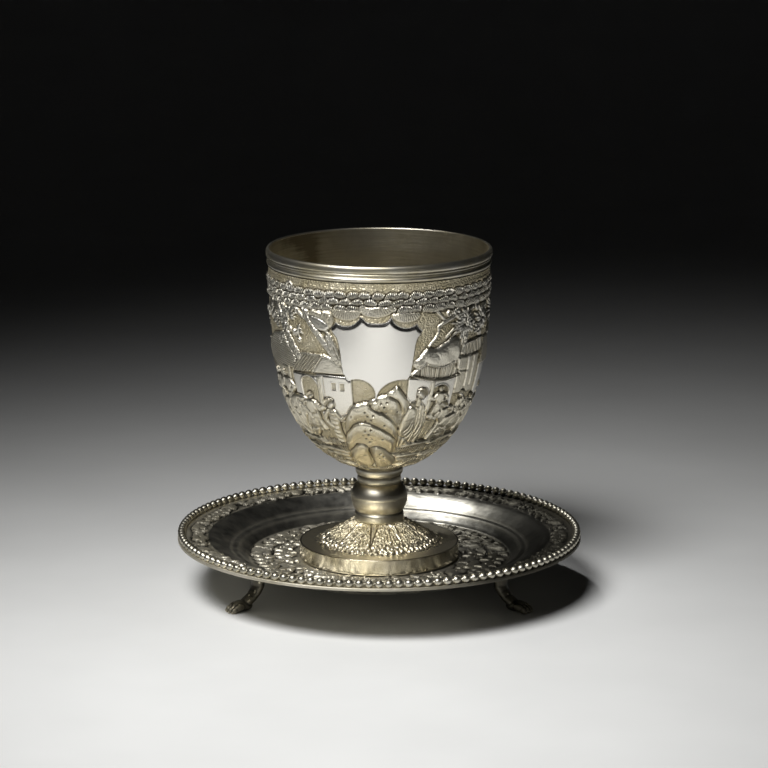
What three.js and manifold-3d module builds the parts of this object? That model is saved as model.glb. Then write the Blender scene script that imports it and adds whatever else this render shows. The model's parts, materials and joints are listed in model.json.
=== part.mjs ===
// A silver kiddush cup standing on its own beaded saucer with three paw feet.
// Millimetres, +Z up. The origin is on the table, under the cup's axis; the shield faces -Y.
import * as THREE from "three";
import { mergeVertices } from "three/addons/utils/BufferGeometryUtils.js";
import Module from "manifold-3d";

const wasm = await Module();
wasm.setup();

// Driving dimensions
const SOLDER_GAP = 0.3; // left between neighbouring pieces
const SHEET = 1.1; // thickness of the raised silver sheet

const MOUTH_TOP = 116.9;
const MOULDING_FOOT = 111.4;
const MOULDING_RADIUS = 37.2;
const MOULDING_BORE = 36;

const BOWL_TOP = MOULDING_FOOT - SOLDER_GAP;
const BOWL_SEAT = 43.9; // where the collar of the stem meets the bowl
const BOWL_DEPTH = 68.5; // to where the curve would close on the axis
const BOWL_RADIUS = 36.5; // at the top, without relief
const BOWL_TAPER = 0.057; // share of the radius lost down to the bottom
const BOWL_FULLNESS = 3.24; // exponent of the outline: 2 is an ellipse
const BOWL_COLUMNS = 80;
const BOWL_ROWS = 18;
const BOWL_LINING_ROWS = 4;
const RELIEF_HEIGHT = 1.25; // of the boldest motifs above the ground of the bowl

const STEM_RADIUS = 8;
const KNOP_RADIUS = 9.5;
const KNOP_HEIGHT = 33.6; // of its sharp edge above the table
const STEM_FOOT = 24.8;

const LEDGE_RADIUS = 26.6;
const LEDGE_HEIGHT = 17.2;
const LEAF_TIP_RADIUS = 19.9;
const LEAF_COUNT = 9;

const WELL_FLOOR = 11.6; // top of the saucer's flat centre
const WELL_RADIUS = 44.1;
const CAVETTO_RADIUS = 56.5;
const FLANGE_HEIGHT = 19;
const SAUCER_RADIUS = 67.2;

const BEAD_COUNT = 132;
const BEAD_RADIUS = 1.4;
const BEAD_RING_RADIUS = 66.05;
const BEAD_HEIGHT = 20.7;
const BEAD_NIP = 0.42; // how far the wire draws in between two beads

const PAW_BEARINGS = [-60, 60, 180]; // degrees from the front
const PAW_TOE_RADIUS = 57.9; // from the cup's axis to the claws
const TOES = 4;

const silver = (color, roughness) =>
  new THREE.MeshStandardMaterial({ color, roughness, metalness: 1 });

// ---------------------------------------------------------------- turned work

/** A profile of [radius, height] pairs turned round the axis, counted from the front. */
function turned(profile, segments) {
  const points = profile.map(([radius, height]) => new THREE.Vector2(radius, height));
  return new THREE.LatheGeometry(points, segments).rotateX(Math.PI / 2);
}

/** Pushes the skin of a turned shape out along its normals by lift(degrees, point of the profile). */
function chased(geometry, profileLength, segments, lift) {
  const { position, normal } = geometry.attributes;
  const place = new THREE.Vector3();
  const outward = new THREE.Vector3();
  for (let column = 0; column <= segments; column += 1) {
    const degrees = ((column % segments) * 360) / segments;
    for (let point = 0; point < profileLength; point += 1) {
      const index = column * profileLength + point;
      place.fromBufferAttribute(position, index);
      outward.fromBufferAttribute(normal, index);
      place.addScaledVector(outward, lift(degrees, point));
      position.setXYZ(index, place.x, place.y, place.z);
    }
  }
  return geometry;
}

function rimMoulding() {
  const r = MOULDING_RADIUS;
  const lineTop = MOULDING_FOOT + 3.3; // the lip starts above two half-round lines
  const profile = [
    [MOULDING_BORE, MOULDING_FOOT],
    [r - 0.3, MOULDING_FOOT],
    [r, MOULDING_FOOT + 0.9],
    [r - 0.45, MOULDING_FOOT + 1.8],
    [r - 0.05, MOULDING_FOOT + 2.55],
    [r - 0.6, lineTop],
    [r, lineTop + 0.9],
    [r - 0.25, MOUTH_TOP - 0.25],
    [r - 0.7, MOUTH_TOP],
    [MOULDING_BORE, MOUTH_TOP - 0.5],
    [MOULDING_BORE, MOULDING_FOOT],
  ];
  return turned(profile, 40);
}

// ---------------------------------------------------------------- the bowl

/** Radius of the bowl at a height, with `inset` mm taken off all round. */
function bowlRadius(height, inset) {
  const depth = (BOWL_TOP - height) / (BOWL_DEPTH - inset);
  const round = Math.sqrt(1 - depth ** BOWL_FULLNESS);
  return (BOWL_RADIUS - inset) * (1 - BOWL_TAPER * depth) * round;
}

/** The bowl's skin from the top to `seat`, as evenly spaced [radius, height] pairs. */
function bowlSkin(inset, seat, rows) {
  const lastTurn = Math.asin((BOWL_TOP - seat) / (BOWL_DEPTH - inset));
  const curve = new THREE.SplineCurve();
  for (let i = 0; i <= 40; i += 1) {
    const height = BOWL_TOP - (BOWL_DEPTH - inset) * Math.sin((lastTurn * i) / 40);
    curve.points.push(new THREE.Vector2(bowlRadius(height, inset), height));
  }
  return {
    points: curve.getSpacedPoints(rows).map(({ x, y }) => [x, y]),
    length: curve.getLength(),
  };
}

// Relief of the bowl. A motif gives its height, as a share of RELIEF_HEIGHT, at a place on the skin:
// `x` is mm to the right of the motif's own bearing and `down` is mm below the bowl's top edge.

const softEdge = (distance, width) => 1 - THREE.MathUtils.smoothstep(distance, -width, width);

/** A rounded boss, such as a hump of rock, a body or a tuft of leaves. */
const boss = (at, halfWidth, halfHeight, lift) => (x, down) => {
  const reach = Math.hypot(x / halfWidth, (down - at) / halfHeight);
  return lift * Math.sqrt(Math.max(0, 1 - reach * reach));
};

/** A flat slab, such as a wall: `splay` widens it toward its foot, and is negative for a shield. */
const slab = (top, foot, halfWidth, splay, lift) => (x, down) => {
  const along = (down - top) / (foot - top);
  const side = Math.abs(x) - (halfWidth + splay * (along - 0.5));
  const end = Math.abs(along - 0.5) * (foot - top) - (foot - top) / 2;
  return lift * softEdge(Math.max(side, end), 0.9);
};

/** A trunk or branch, straight from one place to another. */
const limb = (x0, down0, x1, down1, width, lift) => (x, down) => {
  const line = new THREE.Line3(new THREE.Vector3(x0, down0), new THREE.Vector3(x1, down1));
  const here = new THREE.Vector3(x, down);
  const nearest = line.closestPointToPoint(here, true, new THREE.Vector3());
  return lift * softEdge(here.distanceTo(nearest) - width / 2, 0.8);
};

/** A hipped roof over a wall. */
const house = (eaves, foot, halfWidth) => (x, down) =>
  Math.max(
    slab(eaves - 6, eaves + 1, halfWidth, 8, 0.9)(x, down),
    slab(eaves, foot, halfWidth - 1.5, 0, 0.45)(x, down),
  );

/** A standing figure: head above a robe that widens to the ground. */
const figure = (top, height) => (x, down) =>
  Math.max(
    boss(top + 1.6, 1.8, 1.8, 1)(x, down),
    slab(top + 3, top + height, 2.6, 2.4, 0.85)(x, down),
  );

/** Humps of rock, one in front of another. */
const rocks = (top, foot, halfWidth) => (x, down) => {
  let lift = 0;
  for (let at = top; at < foot; at += 7) {
    const sway = halfWidth * 0.25 * Math.sin(at);
    lift = Math.max(lift, boss(at + 6, halfWidth, 6, 0.9)(x - sway, down));
  }
  return lift;
};

/** The vacant shield: a slab with a pointed foot. */
const shield = (x, down) =>
  Math.max(slab(11, 32, 12.5, -3, 0.3)(x, down), slab(30, 38, 5, -9, 0.3)(x, down));

/** What stands round the bowl, by its bearing in degrees from the front. */
const scenery = [
  [-1, shield],
  [-2, rocks(38, 68, 9)],
  [-32, limb(-5, 8, 7, 26, 3, 0.8)],
  [-31, boss(11, 4.5, 3.6, 0.8)],
  [-28, house(31, 46, 8.5)],
  [-29, figure(39, 17)],
  [-44, figure(37, 12)],
  [-57, limb(-5, 8, 5, 27, 2.6, 0.8)],
  [-57, house(32, 44, 6)],
  [21, boss(46, 6, 9, 1.1)],
  [24, boss(37, 2.2, 2.4, 1.1)],
  [29, boss(26, 7.5, 5, 0.7)],
  [33, house(33, 45, 10)],
  [39, figure(35, 12)],
  [50, boss(15, 6.5, 5.5, 0.9)],
  [57, house(26, 38, 7)],
  [49, figure(43, 15)],
];
const BACK_GROUPS = [90, 135, 180, 225, 270];
for (const bearing of BACK_GROUPS) {
  scenery.push(
    [bearing, house(30, 44, 9)],
    [bearing - 13, limb(4, 9, -4, 30, 2.8, 0.8)],
    [bearing + 15, boss(16, 6, 6, 0.8)],
    [bearing - 16, figure(40, 15)],
    [bearing + 17, figure(38, 15)],
    [bearing, rocks(44, 66, 7)],
  );
}

const foliage = slab(2.5, 9.5, Infinity, 0, 0.65);
const lowGround = slab(58, 74, Infinity, 0, 0.35);

/** Relief in mm at a bearing and a depth below the top edge, where the skin has `radius`. */
function bowlRelief(degrees, down, radius) {
  let lift = Math.max(foliage(0, down), lowGround(0, down));
  for (const [bearing, motif] of scenery) {
    const turn = THREE.MathUtils.euclideanModulo(degrees - bearing + 180, 360) - 180;
    const x = THREE.MathUtils.degToRad(turn) * radius;
    lift = Math.max(lift, motif(x, down));
  }
  return lift * RELIEF_HEIGHT;
}

function cupBowl() {
  const outside = bowlSkin(0, BOWL_SEAT, BOWL_ROWS);
  const lining = bowlSkin(SHEET, BOWL_SEAT + SHEET, BOWL_LINING_ROWS);
  const profile = [
    [0, BOWL_SEAT],
    ...outside.points.toReversed(),
    ...lining.points,
    [0, BOWL_SEAT + SHEET],
  ];
  return chased(turned(profile, BOWL_COLUMNS), profile.length, BOWL_COLUMNS, (degrees, point) => {
    const row = BOWL_ROWS + 1 - point; // counted down from the top edge
    if (row <= 0 || row >= BOWL_ROWS) return 0;
    const down = (outside.length * row) / BOWL_ROWS;
    return bowlRelief(degrees, down, outside.points[row][0]);
  });
}

// ---------------------------------------------------------------- stem and foot

function stemKnop() {
  const r = STEM_RADIUS;
  const neck = 7.45;
  const knopTop = KNOP_HEIGHT + 5.1;
  const shoulder = THREE.MathUtils.degToRad(40);
  const profile = [
    [0, STEM_FOOT],
    [r - 0.3, STEM_FOOT],
    [r - 0.1, STEM_FOOT + 1.1],
    [neck, STEM_FOOT + 2.4],
    [neck, STEM_FOOT + 4.2],
    [KNOP_RADIUS - 0.3, KNOP_HEIGHT - 0.6],
    [KNOP_RADIUS, KNOP_HEIGHT],
    [r + 1.5 * Math.cos(shoulder), KNOP_HEIGHT + 5 * Math.sin(shoulder)],
    [r, knopTop],
    [r - 0.3, knopTop + 1.9],
    [r, knopTop + 3.4],
    [r, BOWL_SEAT - SOLDER_GAP],
    [0, BOWL_SEAT - SOLDER_GAP],
  ];
  return turned(profile, 28);
}

function footDome() {
  const segments = LEAF_COUNT * 5;
  const top = STEM_FOOT - SOLDER_GAP;
  const leafRings = 4;
  const leaves = Array.from({ length: leafRings + 1 }, (_, ring) => {
    const out = ring / leafRings;
    const radius = THREE.MathUtils.lerp(STEM_RADIUS - 0.3, LEAF_TIP_RADIUS, out);
    return [radius, THREE.MathUtils.lerp(top, LEDGE_HEIGHT + 0.5, out ** 0.8)];
  });
  const profile = [
    [0, LEDGE_HEIGHT + 4],
    [STEM_RADIUS, LEDGE_HEIGHT + 4],
    [LEAF_TIP_RADIUS, LEDGE_HEIGHT - SHEET],
    [LEDGE_RADIUS, LEDGE_HEIGHT - SHEET],
    [LEDGE_RADIUS, LEDGE_HEIGHT],
    ...leaves.toReversed(),
    [0, top],
  ];
  const firstLeafPoint = 5;
  return chased(turned(profile, segments), profile.length, segments, (degrees, point) => {
    const ring = leafRings - (point - firstLeafPoint);
    if (ring <= 0 || ring >= leafRings) return 0;
    const across = Math.abs(Math.sin(THREE.MathUtils.degToRad((degrees * LEAF_COUNT) / 2)));
    return 0.7 * across ** 0.6;
  });
}

function footRing() {
  const outer = LEDGE_RADIUS + 0.1;
  const inner = outer - SHEET;
  const foot = WELL_FLOOR + SOLDER_GAP;
  const top = LEDGE_HEIGHT - SHEET - SOLDER_GAP;
  return turned([[inner, foot], [outer, foot], [outer, top], [inner, top], [inner, foot]], 40);
}

// ---------------------------------------------------------------- the saucer

const FLANGE_TUFTS = 12; // leaf tufts round the flange
const SAUCER_SEGMENTS = FLANGE_TUFTS * 4;

const saucerUnderside = () => [
  [SAUCER_RADIUS, FLANGE_HEIGHT - 0.3],
  [CAVETTO_RADIUS + 1, FLANGE_HEIGHT - SHEET],
  [WELL_RADIUS + 4.4, WELL_FLOOR + 1.9],
  [WELL_RADIUS, WELL_FLOOR - SHEET],
];

function saucerDish() {
  const top = [
    [0, WELL_FLOOR],
    [29, WELL_FLOOR],
    [37, WELL_FLOOR + 0.2],
    [WELL_RADIUS, WELL_FLOOR + 0.5],
    [WELL_RADIUS + 3.3, WELL_FLOOR + 3.1],
    [WELL_RADIUS + 5.5, WELL_FLOOR + 4.2],
    [CAVETTO_RADIUS - 3, FLANGE_HEIGHT - 1.7],
    [CAVETTO_RADIUS, FLANGE_HEIGHT],
    [(CAVETTO_RADIUS + 64) / 2, FLANGE_HEIGHT + 0.3],
    [64, FLANGE_HEIGHT + 0.4],
    [SAUCER_RADIUS - 0.4, FLANGE_HEIGHT],
  ];
  const profile = [...top, ...saucerUnderside(), [0, WELL_FLOOR - SHEET]].toReversed();
  const reliefLift = { 2: 0.6, 8: 0.7 }; // by place in `top`: the centre's border, the flange
  return chased(turned(profile, SAUCER_SEGMENTS), profile.length, SAUCER_SEGMENTS, (degrees, point) => {
    const lift = reliefLift[profile.length - 1 - point] ?? 0;
    return lift * (0.6 + 0.4 * Math.cos(THREE.MathUtils.degToRad(degrees * FLANGE_TUFTS)));
  });
}

/** One wire with a bead at every second column, nipped in between them. */
function beadedRim() {
  const sides = 4;
  const segments = BEAD_COUNT * 2;
  const profile = Array.from({ length: sides + 1 }, (_, side) => {
    const turn = ((side % sides) * 2 * Math.PI) / sides;
    return [
      BEAD_RING_RADIUS + BEAD_RADIUS * Math.cos(turn),
      BEAD_HEIGHT + BEAD_RADIUS * Math.sin(turn),
    ];
  });
  const geometry = turned(profile, segments);
  const { position } = geometry.attributes;
  const place = new THREE.Vector3();
  const core = new THREE.Vector3();
  for (let column = 1; column < segments; column += 2) {
    const turn = (column * 2 * Math.PI) / segments;
    core.set(Math.sin(turn), -Math.cos(turn), 0).multiplyScalar(BEAD_RING_RADIUS).setZ(BEAD_HEIGHT);
    for (let side = 0; side <= sides; side += 1) {
      const index = column * (sides + 1) + side;
      place.fromBufferAttribute(position, index).lerp(core, BEAD_NIP);
      position.setXYZ(index, place.x, place.y, place.z);
    }
  }
  return geometry;
}

// ---------------------------------------------------------------- paw feet

/** A closed three.js geometry as a manifold-3d solid. */
function solidOf(geometry) {
  const bare = geometry.index ? geometry.clone() : geometry;
  bare.deleteAttribute("normal");
  bare.deleteAttribute("uv");
  const merged = mergeVertices(bare, 1e-4);
  return new wasm.Manifold(new wasm.Mesh({
    numProp: 3,
    vertProperties: merged.attributes.position.array,
    triVerts: Uint32Array.from(merged.index.array),
  }));
}

function geometryOf(solid) {
  const { vertProperties, triVerts } = solid.getMesh();
  const geometry = new THREE.BufferGeometry();
  geometry.setAttribute("position", new THREE.BufferAttribute(vertProperties, 3));
  geometry.setIndex(new THREE.BufferAttribute(triVerts, 1));
  geometry.computeVertexNormals();
  return geometry;
}

const ball = (x, y, z, halfLength, halfWidth, halfHeight, sides) =>
  new THREE.SphereGeometry(1, sides, sides - 2)
    .scale(halfLength, halfWidth, halfHeight)
    .translate(x, y, z);

/** The room between the table and the underside of the saucer, 20 mm wide, seen as in pawFoot. */
function roomUnderSaucer() {
  const edge = new THREE.Shape([
    new THREE.Vector2(-30, 0),
    new THREE.Vector2(10, 0),
    ...saucerUnderside().map(([r, z]) => new THREE.Vector2(r - PAW_TOE_RADIUS, z - SOLDER_GAP)),
    new THREE.Vector2(-30, WELL_FLOOR - SHEET - SOLDER_GAP),
  ]);
  const prism = new THREE.ExtrudeGeometry(edge, { depth: 20, bevelEnabled: false });
  return prism.rotateX(Math.PI / 2).translate(0, 10, 0);
}

/** One cast paw with its leg: +X is outward from the cup's axis, and the claws end at x = 0. */
function pawFoot() {
  const route = new THREE.CatmullRomCurve3([
    new THREE.Vector3(-11.6, 0, FLANGE_HEIGHT - 4),
    new THREE.Vector3(-11.8, 0, 8),
    new THREE.Vector3(-10, 0, 4.6),
    new THREE.Vector3(-6.5, 0, 2.4),
  ]);
  const section = new THREE.Shape().absellipse(0, 0, 2.8, 2, 0, 2 * Math.PI);
  const leg = new THREE.ExtrudeGeometry(section, { extrudePath: route, steps: 4, curveSegments: 4 });
  let solid = solidOf(leg).add(solidOf(ball(-5.4, 0, 1.7, 4.4, 2.8, 2.5, 7)));
  for (let toe = 0; toe < TOES; toe += 1) {
    const y = (toe - (TOES - 1) / 2) * 1.45;
    const reach = 2 + 0.12 * y * y; // the outer toes stand back
    solid = solid.add(solidOf(ball(-reach, y, 1, 2, 0.85, 1.5, 5)));
  }
  return geometryOf(solid.intersect(solidOf(roomUnderSaucer())));
}

// ---------------------------------------------------------------- assembly

const group = new THREE.Group();

function add(name, geometry, material) {
  const mesh = new THREE.Mesh(geometry, material);
  mesh.name = name;
  group.add(mesh);
  return mesh;
}

const polished = silver("#c9c5b8", 0.22);
const chasedSilver = silver("#b8b197", 0.38);
const tarnished = silver("#77756c", 0.35);

add("rim_moulding", rimMoulding(), polished);
add("cup_bowl", cupBowl(), chasedSilver);
add("stem_knop", stemKnop(), polished);
add("foot_dome", footDome(), chasedSilver);
add("foot_ring", footRing(), polished);
add("saucer_dish", saucerDish(), tarnished);
add("beaded_rim", beadedRim(), chasedSilver);

PAW_BEARINGS.forEach((bearing, index) => {
  const turn = THREE.MathUtils.degToRad(bearing);
  const paw = add(`paw_foot_${index + 1}`, pawFoot(), tarnished);
  paw.position.set(PAW_TOE_RADIUS * Math.sin(turn), -PAW_TOE_RADIUS * Math.cos(turn), 0);
  paw.rotation.z = turn - Math.PI / 2;
});

export default group;
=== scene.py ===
"""Finish of a silver kiddush cup that stands on its own beaded saucer with three paw feet.

Every piece is built over its CAD solid. Lengths in this file are in millimetres unless they say
metres, bearings are in degrees from the front (-Y) toward +X, and MM turns them into metres.
"""

import json
import math

import bmesh
import bpy
import numpy as np
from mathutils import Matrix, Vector

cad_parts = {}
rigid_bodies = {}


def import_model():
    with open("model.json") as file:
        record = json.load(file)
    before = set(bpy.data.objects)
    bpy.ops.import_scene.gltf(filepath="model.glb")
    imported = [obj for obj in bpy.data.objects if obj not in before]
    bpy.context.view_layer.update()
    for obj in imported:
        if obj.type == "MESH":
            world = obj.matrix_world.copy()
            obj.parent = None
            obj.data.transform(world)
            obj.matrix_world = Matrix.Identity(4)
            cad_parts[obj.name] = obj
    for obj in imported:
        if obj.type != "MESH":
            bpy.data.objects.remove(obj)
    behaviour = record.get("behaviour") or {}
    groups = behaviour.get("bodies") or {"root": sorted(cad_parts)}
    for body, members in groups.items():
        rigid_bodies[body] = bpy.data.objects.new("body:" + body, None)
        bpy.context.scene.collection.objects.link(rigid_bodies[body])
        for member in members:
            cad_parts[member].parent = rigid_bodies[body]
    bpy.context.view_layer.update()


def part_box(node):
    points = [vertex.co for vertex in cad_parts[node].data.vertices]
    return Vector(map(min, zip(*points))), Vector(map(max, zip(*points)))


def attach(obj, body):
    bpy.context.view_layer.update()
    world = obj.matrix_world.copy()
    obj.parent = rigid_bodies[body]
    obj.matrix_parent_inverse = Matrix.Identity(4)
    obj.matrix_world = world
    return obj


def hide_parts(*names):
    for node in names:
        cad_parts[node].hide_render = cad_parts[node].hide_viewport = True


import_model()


# ---------------------------------------------------------------- mouth moulding
# A drawn silver wire soldered round the mouth: a rounded lip over two half-round lines.
# It is burnished, and its grooves hold a dark line of old polish.

MM = 0.001


def heights(node_name):
    """Lowest and highest point of a CAD node, in mm."""
    low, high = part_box(node_name)
    return low[2] / MM, high[2] / MM


def arc(start, end, bulge, steps):
    """Points on a shallow arc from start to end, bulging to the right of the way by `bulge` mm."""
    start, end = np.array(start, float), np.array(end, float)
    along = (end - start) / np.linalg.norm(end - start)
    right = np.array([along[1], -along[0]])
    t = np.linspace(0, 1, steps + 1)[:, None]
    return start + (end - start) * t + right * bulge * 4 * t * (1 - t)


def grid_mesh(name, places, around=True, normals=None):
    """A smooth mesh over a grid of places (rows, columns, 3) in mm, joined round the columns."""
    rows, columns, _ = places.shape
    index = np.arange(rows * columns).reshape(rows, columns)
    if around:
        index = np.hstack([index, index[:, :1]])
    quads = np.stack([index[:-1, :-1], index[:-1, 1:], index[1:, 1:], index[1:, :-1]], axis=-1)
    mesh = bpy.data.meshes.new(name)
    mesh.from_pydata((places.reshape(-1, 3) * MM).tolist(), [], quads.reshape(-1, 4).tolist())
    mesh.shade_smooth()
    if normals is not None:
        mesh.normals_split_custom_set_from_vertices(normals.reshape(-1, 3).tolist())
    piece = bpy.data.objects.new(name, mesh)
    bpy.context.scene.collection.objects.link(piece)
    return piece


def turned(name, profile, columns):
    """A profile of (radius, height) rows turned round the cup's axis, with its outside going up."""
    profile = np.asarray(profile)
    turn = np.radians(np.arange(columns) * 360 / columns)
    radius, height = profile[:, :1], profile[:, 1:]
    places = np.stack([radius * np.sin(turn), -radius * np.cos(turn), height + 0 * turn], axis=-1)
    return grid_mesh(name, places)


def finish_piece(piece, material, slot, *replaced):
    """Gives a piece its material and its place in the frame."""
    piece.data.materials.append(material)
    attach(piece, "root")
    if replaced:
        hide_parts(*replaced)
    return piece


def linear(hex_colour):
    """An sRGB hex colour as linear RGBA."""
    channels = [int(hex_colour[i:i + 2], 16) / 255 for i in (1, 3, 5)]
    return [c / 12.92 if c < 0.04045 else ((c + 0.055) / 1.055) ** 2.4 for c in channels] + [1.0]


def node(tree, kind, inputs=None, output=0, stops=(), **settings):
    """Adds a node and gives one of its outputs. `settings` are its own options, `inputs` are values
    or sockets by input name, and `stops` are a ramp's, as (position, sRGB hex)."""
    made = tree.nodes.new("ShaderNode" + kind)
    for key, value in settings.items():
        setattr(made, key, value)
    for key, value in (inputs or {}).items():
        if isinstance(value, bpy.types.NodeSocket):
            tree.links.new(value, made.inputs[key])
        else:
            made.inputs[key].default_value = value
    for step, (position, colour) in enumerate(stops):
        elements = made.color_ramp.elements
        element = elements[step] if step < len(elements) else elements.new(position)
        element.position, element.color = position, linear(colour)
    return made.outputs[output] if made.outputs else None


def blank_material(name):
    """A material with no surface yet, and the object's own coordinates in metres."""
    material = bpy.data.materials.new(name)
    material.use_nodes = True
    tree = material.node_tree
    tree.nodes.clear()
    return material, tree, node(tree, "TexCoord", output="Object")


def close_material(tree, colour, roughness, normal):
    """Joins a finish to a bare metal surface, which keeps the default IOR, and to the output."""
    surface = node(tree, "BsdfPrincipled", {"Metallic": 1.0, "Base Color": colour,
                                            "Roughness": roughness, "Normal": normal})
    node(tree, "OutputMaterial", {"Surface": surface})


def burnished_silver(name, dull, bright, shades=("#C4BB9F", "#DDD7C6", "#EAE6DC")):
    """Silver rubbed bright by hand: soft mirror bands under a thin warm bloom, and hairlines round
    the axis. Real hairlines are under 0.1 mm apart and are drawn coarser, so that they show."""
    material, tree, place = blank_material(name)
    bloom = node(tree, "TexNoise", {"Vector": place, "Scale": 1 / (9 * MM), "Detail": 4.0})
    drawn = node(tree, "Mapping", {"Vector": place, "Scale": (0.12, 0.12, 1.0)})
    hairlines = node(tree, "TexNoise", {"Vector": drawn, "Scale": 1 / (0.5 * MM), "Detail": 2.0})
    colour = node(tree, "ValToRGB", {"Fac": bloom}, stops=zip((0.3, 0.55, 0.8), shades))
    roughness = node(tree, "MapRange", {"Value": bloom, "To Min": dull, "To Max": bright})
    close_material(tree, colour, roughness,
                   node(tree, "Bump", {"Height": hairlines, "Distance": 0.02 * MM}))
    return material


SILVER_BURNISHED = burnished_silver("burnished_silver", 0.44, 0.31)


def mouth_moulding():
    """The wire's section: bore, the two lines one over the other, the lip, and back to the bore."""
    foot, top = heights("rim_moulding")
    radius, bore = 37.24, 36.0
    lip = [(-0.26, 2.55), (-0.05, 2.3), (0.0, 1.95), (0.0, 1.45), (-0.04, 1.05), (-0.12, 0.72),
           (-0.25, 0.46), (-0.42, 0.25), (-0.62, 0.12), (-0.82, 0.07), (-1.02, 0.12), (-1.2, 0.3)]
    profile = np.vstack([
        [[bore, foot], [radius - 0.75, foot]],
        arc((radius - 0.6, top - 5.35), (radius - 0.62, top - 3.95), 0.36, 10),
        [[radius - 0.85, top - 3.85], [radius - 0.9, top - 3.65], [radius - 0.8, top - 3.5]],
        arc((radius - 0.55, top - 3.42), (radius - 0.5, top - 2.8), 0.16, 6),
        [[radius - 0.62, top - 2.72], [radius - 0.6, top - 2.64]],
        [[radius + across, top - below] for across, below in lip],
        [[bore, top - 0.5], [bore, foot]],
    ])
    piece = turned("mouth_moulding", profile, 240)
    return finish_piece(piece, SILVER_BURNISHED, "polished_silver", "rim_moulding")


mouth_moulding()


# ---------------------------------------------------------------- bowl: the sheet
# The bowl is raised from one sheet of silver. Its outline is a full curve that closes under the
# stem's collar. The scene on it is pushed out and then chased from outside, and the ground matted.

BOWL_SEAT, BOWL_TOP = heights("cup_bowl")
BOWL_DEPTH = 68.5  # to where the curve would close on the axis
BOWL_RADIUS = 36.5  # at the top, without relief
BOWL_TAPER = 0.057
BOWL_FULLNESS = 3.24
SHEET = 1.1  # thickness of the metal


def bowl_outline(inset, seat, rows):
    """Evenly spaced points down the bowl's skin: distance down, radius, height."""
    depth = BOWL_DEPTH - inset
    turn = np.linspace(0, math.asin((BOWL_TOP - seat) / depth), 1500)
    fall = np.sin(turn)
    height = BOWL_TOP - depth * fall
    radius = (BOWL_RADIUS - inset) * (1 - BOWL_TAPER * fall) * np.sqrt(1 - fall**BOWL_FULLNESS)
    down = np.concatenate([[0], np.cumsum(np.hypot(np.diff(radius), np.diff(height)))])
    even = np.linspace(0, down[-1], rows)
    return even, np.interp(even, down, radius), np.interp(even, down, height)


def smooth(value, low, high):
    """0 below low, 1 above high, and a smooth rise between; low may be the larger."""
    t = np.clip((value - low) / (high - low), 0, 1)
    return t * t * (3 - 2 * t)


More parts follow.
